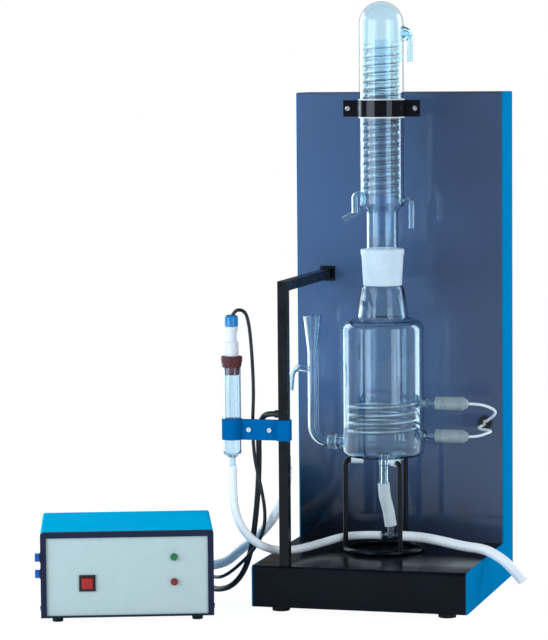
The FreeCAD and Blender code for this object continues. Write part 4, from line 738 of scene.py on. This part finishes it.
class STILL_OT_boiler(bpy.types.Operator):
    """Quartz boiler with its socket, nozzles and heater"""
    bl_idname = "still.boiler"
    bl_label = "Boiler"

    def execute(self, context):
        glass = context.scene.still_glass
        clear = fused_quartz("flame_polished_quartz", glass.tint, streak_mm=9.0)
        r, w = glass.boiler_radius, glass.boiler_wall
        shoulder, foot = NECK_Z - 6.0, SOCKET_FOOT_R - 3.0
        vessel = turned([
            (0, BOILER_Z), (r, BOILER_Z, 10), (r, shoulder, 16), (NECK_R, NECK_Z, 5),
            (NECK_TOP_R, SOCKET_Z - 3.5, 2), (SOCKET_FOOT_R, SOCKET_Z), (foot, SOCKET_Z),
            (NECK_TOP_R - 3, SOCKET_Z - 4), (NECK_R - 3, NECK_Z - w, 4), (r - w, shoulder - w, 13),
            (r - w, BOILER_Z + w, 7), (0, BOILER_Z + w)], sides=160)
        skin("boiler_vessel", [vessel], clear)
        socket = turned([
            (foot, SOCKET_Z), (SOCKET_FOOT_R, SOCKET_Z), (SOCKET_R, MOUTH_Z - 12, 6),
            (SOCKET_RIM_R, MOUTH_Z - 7, 2), (SOCKET_RIM_R, MOUTH_Z, 2), (taper(MOUTH_Z) + 0.6, MOUTH_Z),
            (taper(MOUTH_Z - 2), MOUTH_Z - 2), (taper(MOUTH_Z - 48), MOUTH_Z - 48)], closed=True)
        skin("ground_socket", [socket], ground_quartz("ground_quartz_socket"))
        self.nozzles(clear, r, w)
        self.heater(glass.heater_turns)
        return {"FINISHED"}

    def nozzles(self, clear, r, w):
        """Feed nozzle with its bulge, ridged drain nozzle and the two heater seals."""
        tube_r, tube_bore = 8.5, 6.5
        feed = turned_along([
            (tube_r, 0), (tube_r, 6), (10.5, 9, 3), (10.4, 12, 2), (tube_r, 15.5, 2), (tube_r, 22),
            (tube_bore, 22), (tube_bore, 0)],
            (GLASS_X - r + w + 0.5, GLASS_Y, FEED_Z), (-1, 0, 0), closed=True)
        tip, ridge_pitch, bore = 45.0, 4.83, 3.0
        ridges = [(6.0, tip)]
        for i in range(6):
            low = tip - i * ridge_pitch
            ridges += [(6.3, low - 0.2), (7.5, low - 3.8), (6.2, low - 4.2)]
        profile = [(bore, -3), (10.5, -3), (10.3, 0, 1), (7.5, 14, 4)] + ridges[::-1] + [(bore, tip)]
        drain = turned_along(profile, (GLASS_X, GLASS_Y, BOILER_Z), (0, 0, -1), closed=True)
        hole = HEATER_TUBE_R + 0.06
        seals = [turned_along([(hole, 0.5), (9.5, 1.5, 1), (9.0, 5, 1), (6.5, w + 7, 2), (6.5, w + 20, 1),
                               (hole, w + 20)], (GLASS_X + r - w, GLASS_Y, z), (1, 0, 0), closed=True)
                 for z in HEATER_ENDS]
        skin("boiler_nozzles", [feed, drain] + seals, clear)

    def heater(self, turns):
        """Quartz sheath wound as a coil, the wire winding inside it, and the sleeves on its ends."""
        line = coil_line(HEATER_ENDS[0], HEATER_R, HEATER_PITCH, turns, 72)
        ways = GLASS_X + HEATER_R + 4.1, GLASS_X + 62, reach("heater_coil", X)[1]
        stubs = [along([(x, GLASS_Y, z) for x in ways], HEATER_TUBE_R) for z in HEATER_ENDS]
        sheath = [glass_tube(line, HEATER_TUBE_R, 1.0, 20)] + stubs
        skin("heater_coil", sheath, fused_quartz("drawn_quartz_sheath", "#eef4f8"),
             "heater_sheath")
        winding = along(line, 1.5, 10)
        rows, cols = winding[0].shape[:2]
        way = np.repeat(np.linspace(0, 2 * np.pi * HEATER_R * turns / HEATER_WAVE, rows), cols)
        skin("heater_coil", [winding], resistance_wire("wound_resistance_wire"),
             "heater_winding", replaces=False, uv=np.column_stack([way, 0 * way]))
        bore, outside, tip_r = 4.2, 10.75, 6.2
        sleeves = []
        for z in HEATER_ENDS:
            start = (reach("insulator_sleeves", X)[0], GLASS_Y, z)
            sleeves.append(turned_along([
                (bore, 0), (outside, 0, 0.8), (outside, 5, 0.5), (10.2, 6, 0.5), (10.2, 9, 0.5),
                (outside, 10, 0.5), (outside, 43.5, 2.5), (tip_r, 51, 1.5), (2.3, 52), (0, 52)],
                start, (1, 0, 0)))
            sleeves.append(turned_along([(bore, 0), (bore, 22), (0, 22)], start, (1, 0, 0)))
        white = moulded("translucent_silicone_sleeve", "#7f8d93", "#929fa4", 0.34, 0.8)
        skin("insulator_sleeves", sleeves, white)


class STILL_OT_feed(bpy.types.Operator):
    """Feed funnel with its overflow spout and the joint to the boiler"""
    bl_idname = "still.feed"
    bl_label = "Feed funnel"

    def execute(self, context):
        clear = fused_quartz("drawn_quartz_tube", context.scene.still_glass.tint, streak_mm=6.0)
        x, end, mouth = GLASS_X - 115, reach("feed_funnel", X)[1], reach("feed_funnel", Z)[1]
        neck, overflow, tube_r, bore_r = mouth - 57, mouth - 86, 8.5, 6.5
        foot = bent_line([(end, GLASS_Y, FEED_Z), (x, GLASS_Y, FEED_Z), (x, GLASS_Y, neck)], [0, 24, 0])
        cup = turned([
            (tube_r, neck - 0.5), (tube_r, neck + 1, 2), (13.5, mouth - 12, 12), (15, mouth - 1.2, 0.8),
            (14.6, mouth, 0.5), (13.2, mouth, 0.4), (11.5, mouth - 12, 12), (bore_r, neck + 1, 2),
            (bore_r, neck - 0.5)], x, GLASS_Y, True, 64)
        spout = bent_line([(x - 6.6, GLASS_Y, overflow), (x - 33, GLASS_Y, overflow + 3),
                           (x - 37, GLASS_Y, overflow - 34)], [0, 13, 0])
        grids = [glass_tube(foot, tube_r, tube_r - bore_r), cup, glass_tube(spout, 5.0, 1.5)]
        skin("feed_funnel", grids, clear)
        hole, rim, waist = 8.56, 12.3, 11.1
        ring = turned_along([(hole, 0), (rim, 0, 0.6), (rim, 3, 0.6), (waist, 3.6, 0.5), (waist, 11.4, 0.5),
                             (rim, 12, 0.6), (rim, 15, 0.6), (hole, 15)],
                            (reach("feed_coupling", X)[0], GLASS_Y, FEED_Z), (1, 0, 0), closed=True)
        skin("feed_coupling", [ring], fused_quartz("ground_quartz_coupling", "#d8e8f2", 0.3))
        return {"FINISHED"}


class STILL_OT_condenser(bpy.types.Operator):
    """Condenser: jacket, cooling coil, steam tube, cone and hooked ends"""
    bl_idname = "still.condenser"
    bl_label = "Condenser"

    def execute(self, context):
        glass = context.scene.still_glass
        clear = fused_quartz("lathe_worked_quartz", glass.tint, streak_mm=8.0)
        r, w, base, top = glass.jacket_radius, glass.jacket_wall, JACKET_Z, JACKET_TOP
        # The cone's clear shoulder dips into the socket's mouth
        neck, neck_bore = MOUTH_Z + 1.5, NECK_TUBE_R - 2.5
        jacket = turned([
            (0, top), (r, top, r - 0.01), (r, base + 3, 8), (NECK_TUBE_R, base - 8, 5), (NECK_TUBE_R, neck),
            (neck_bore, neck), (neck_bore, base - 6, 5), (r - w, base + 5, 6), (r - w, top - w, r - w - 0.01),
            (0, top - w)], sides=144)
        skin("condenser_jacket", [jacket], clear)
        foot, brim = reach("condenser_cone", Z)[0], MOUTH_Z - 2
        foot_r, brim_r = taper(foot) - 0.3, taper(brim) - 0.3
        cone = turned([(foot_r - 3, foot), (foot_r, foot), (brim_r, brim, 1), (NECK_TUBE_R, neck),
                       (neck_bore, neck), (25.8, MOUTH_Z - 5, 2)], closed=True)
        skin("condenser_cone", [cone], ground_quartz("ground_quartz_cone"))
        self.hooks(clear, r, base, top)
        line = coil_line(base + 16, r - w - COIL_TUBE_R - 0.3, COIL_PITCH, glass.coil_turns, 56)
        skin("cooling_coil", [glass_tube(line, COIL_TUBE_R, 1.2, 16)],
             fused_quartz("wound_quartz_coil", "#fcffff"))
        low, high = reach("steam_tube", Z)
        bore, seal_z, hole, rim = STEAM_TUBE_R - 2, base - 14, STEAM_TUBE_R + 0.05, neck_bore - 0.3
        tube = turned([(bore, low), (STEAM_TUBE_R, low), (STEAM_TUBE_R, high), (bore, high)], closed=True)
        seal = turned([(hole, seal_z), (rim, seal_z, 1), (rim, seal_z + 3, 1), (hole, seal_z + 3)],
                      closed=True)
        skin("steam_tube", [tube, seal], thin_quartz("drawn_steam_tube", "#f4faff"))
        return {"FINISHED"}

    def hooks(self, clear, r, base, top):
        """Arch on the lower left, spout below it, hooked water ends on the right."""
        near, far, y = GLASS_X - 25, GLASS_X - 39, GLASS_Y - 24.5
        arch = [(near, y, base + 3), (near, y, base + 21), (far, y, base + 21), (far, y, base - 9)]
        root_x, out_x, out_z = GLASS_X + r - 2, GLASS_X + r + 12, top - 51
        low = [(root_x, GLASS_Y, base + 9), (out_x, GLASS_Y, base + 32), (out_x, GLASS_Y, base - 34)]
        high = [(root_x, GLASS_Y, out_z), (out_x, GLASS_Y, out_z), (out_x, GLASS_Y, out_z - 44)]
        root, slant = np.array((GLASS_X - 20, GLASS_Y - 7, base + 2)), np.array((-0.83, -0.30, -0.47))
        spout = np.array([root + slant * way for way in (14, 20, 30, 40, 46)])
        swell = [(4.6, 1), (13, 1, 1), (6.5, 13, 2), (4.6, 13)]
        grids = [glass_tube(bent_line(arch, [0, 6.9, 6.9, 0]), HOOK_R, HOOK_WALL),
                 glass_tube(bent_line(low, [0, 7.5, 0]), HOOK_R, HOOK_WALL),
                 glass_tube(bent_line(high, [0, 11, 0]), 6.0, HOOK_WALL),
                 glass_tube(spout, HOOK_R + 0.4, 1.7),
                 turned_along(swell, (root_x + 1, GLASS_Y, out_z), (1, 0, 0), closed=True)]
        skin("condenser_hooks", grids, clear)


class STILL_OT_sensor(bpy.types.Operator):
    """Level sensor: glass chamber, stopper, probe body and cap"""
    bl_idname = "still.sensor"
    bl_label = "Level sensor"

    def execute(self, context):
        axis = middle("sensor_chamber", X), middle("sensor_chamber", Y)
        nipple, top = reach("sensor_chamber", Z)
        z = nipple + 14
        chamber = [
            (5, nipple), (5, z, 3), (14, z + 3, 9), (14, top - 0.4, 0.3), (13.2, top, 0.3), (12.2, top - 0.4),
            (12.2, z + 5, 8), (3.5, z + 3, 2), (3.5, nipple)]
        clear = fused_quartz("drawn_glass_chamber", "#dbeefa")
        skin("sensor_chamber", [turned(chamber, *axis, True, 64)], clear)
        plug, rim = reach("sensor_stopper", Z)
        stopper = [(0, plug), (11.3, plug, 0.6), (12.1, top), (14.5, top, 0.6), (16.5, top + 11, 1),
                   (16.5, rim, 1.5), (0, rim)]
        rubber = moulded("moulded_red_brown_rubber", "#4a1116", "#5c181d", 0.55, 0.7, 0.03)
        skin("sensor_stopper", [turned(stopper, *axis, False, 64)], rubber)
        low, high = reach("sensor_body", Z)
        body = [(0, low), (11, low, 0.8), (11, low + 9, 0.4), (10.6, low + 9.8, 0.4), (11, low + 10.6, 0.4),
                (11, low + 22, 1.2), (8.5, low + 22.2, 0.4), (8.5, high - 8), (10, high - 7.8, 0.4),
                (10, high, 0.8), (0, high)]
        white = moulded("moulded_white_acetal", "#d9dce4", "#eef0f4", 0.3, 0.6, 0.006)
        skin("sensor_body", [turned(body, *axis, False, 64)], white)
        low, high = reach("sensor_cap", Z)
        cap = [(0, low), (10.5, low, 0.8), (10.5, high, 5), (0, high)]
        blue = moulded("moulded_blue_cap", "#0874b4", "#0c86c8", 0.22, 0.6, 0.004, Coat_Weight=0.3)
        skin("sensor_cap", [turned(cap, *axis, False, 64)], blue)
        dress(plated_steel("drawn_electrode", "#b5b8bc", "#d5d8da", 0.15), "electrodes")
        return {"FINISHED"}


class STILL_OT_fittings(bpy.types.Operator):
    """Tee, drop hose, rest sleeves, hose tails and cable glands"""
    bl_idname = "still.fittings"
    bl_label = "Fittings"

    def execute(self, context):
        top = reach("drain_tee", Z)[1]
        at = np.array((middle("drain_tee", X), middle("drain_tee", Y), top - 16))
        ways = (-4.0, 4, 10, 16)
        arms = [glass_tube(np.array([at + np.array(arm) * way for way in ways]), 5.5, 1.5)
                for arm in ((-1, 0, 0), (1, 0, 0), (0, 0, 1))]
        skin("drain_tee", arms, fused_quartz("blown_tee_glass", "#cfe0ea"))
        hose = milky_silicone("extruded_silicone_sleeve", "#d5dfe2", "#dfe7e9")
        drain = reach("boiler_nozzles", Z)[0]
        line = bent_line([(GLASS_X, GLASS_Y, drain), (-1.5, 1.5, 160), (4, 4.5, 136), (at[X], at[Y], top)],
                         [0, 60, 60, 0])
        skin("drop_hose", [along(line, 9.5, 40)], hose)
        dress(hose, "rest_sleeves")
        dress(plated_steel("turned_brass_plated_tail", "#b9bcc0", "#d6d8da", 0.25), "hose_tails")
        dress(moulded("moulded_polyamide_gland", "#101114", "#1a1b1f", 0.4), "cable_glands")
        return {"FINISHED"}


class STILL_OT_controller(bpy.types.Operator):
    """Controller box: painted cover, bezel, face, button, lamps, fuses and what is inside"""
    bl_idname = "still.controller"
    bl_label = "Controller"

    def execute(self, context):
        p = context.scene.still_paint
        # Baked enamel, nearly matt
        dress(enamelled_sheet("light_blue_enamel", p.box, "#04baea", 0.45, 0.0),
              "controller_cover", "controller_tray")
        # ABS is even and half matt, acrylic has a clear gloss, bakelite a deep one, and board is dull
        dress(moulded("navy_abs_bezel", "#0c1734", "#101c3c", 0.4, Specular_IOR_Level=0.3),
              "controller_bezel")
        dress(moulded("pale_screen_printed_sheet", p.face, "#bdcdcc", 0.4, 0.9, 0.008), "controller_panel")
        dress(moulded("black_abs", "#0b0c0f", "#141519"), "reset_housing", "fuse_holders", "mains_inlet")
        dress(moulded("red_acrylic_button", "#a80f0d", "#b41412", 0.22, 0.8, 0.003), "reset_button")
        # The lenses' faint glow is painted light; the lamps are off
        dress(lens_plastic("green_acrylic_lens", "#0f7a3c", 0.08), "lamp_green")
        dress(lens_plastic("red_acrylic_lens", "#8f1a1c", 0.06), "lamp_red")
        dress(moulded("blue_bakelite_cap", "#0a4f9c", "#0f62b8", 0.3), "fuse_cap_upper", "fuse_cap_lower")
        dress(moulded("fr4_board", "#0e4a2c", "#146038", 0.4), "circuit_board")
        return {"FINISHED"}


class STILL_PT_panel(bpy.types.Panel):
    """Sizes, colours and one button per piece"""
    bl_idname = "STILL_PT_panel"
    bl_label = "Quartz water still"
    bl_space_type = "VIEW_3D"
    bl_region_type = "UI"
    bl_category = "Still"

    def draw(self, context):
        for group in (context.scene.still_glass, context.scene.still_paint, context.scene.still_stage):
            column = self.layout.column(align=True)
            for name in type(group).__annotations__:
                column.prop(group, name)
        for operator in STEPS:
            self.layout.operator(operator.bl_idname)


STEPS = (STILL_OT_stage, STILL_OT_cords, STILL_OT_stand, STILL_OT_boiler, STILL_OT_feed, STILL_OT_condenser,
         STILL_OT_sensor, STILL_OT_fittings, STILL_OT_controller)
GROUPS = (("still_glass", STILL_PG_glass), ("still_paint", STILL_PG_paint), ("still_stage", STILL_PG_stage))


def register():
    """Makes the sizes, the operators and the panel known to Blender."""
    for name, group in GROUPS:
        bpy.utils.register_class(group)
        setattr(bpy.types.Scene, name, bpy.props.PointerProperty(type=group))
    for cls in STEPS + (STILL_PT_panel,):
        bpy.utils.register_class(cls)


def unregister():
    """Takes them away again, last one first."""
    for cls in (STILL_PT_panel,) + STEPS[::-1]:
        bpy.utils.unregister_class(cls)
    for name, group in GROUPS[::-1]:
        delattr(bpy.types.Scene, name)
        bpy.utils.unregister_class(group)


def main():
    register()
    for operator in STEPS:
        group, name = operator.bl_idname.split(".")
        getattr(getattr(bpy.ops, group), name)()


if __name__ == "__main__":
    main()
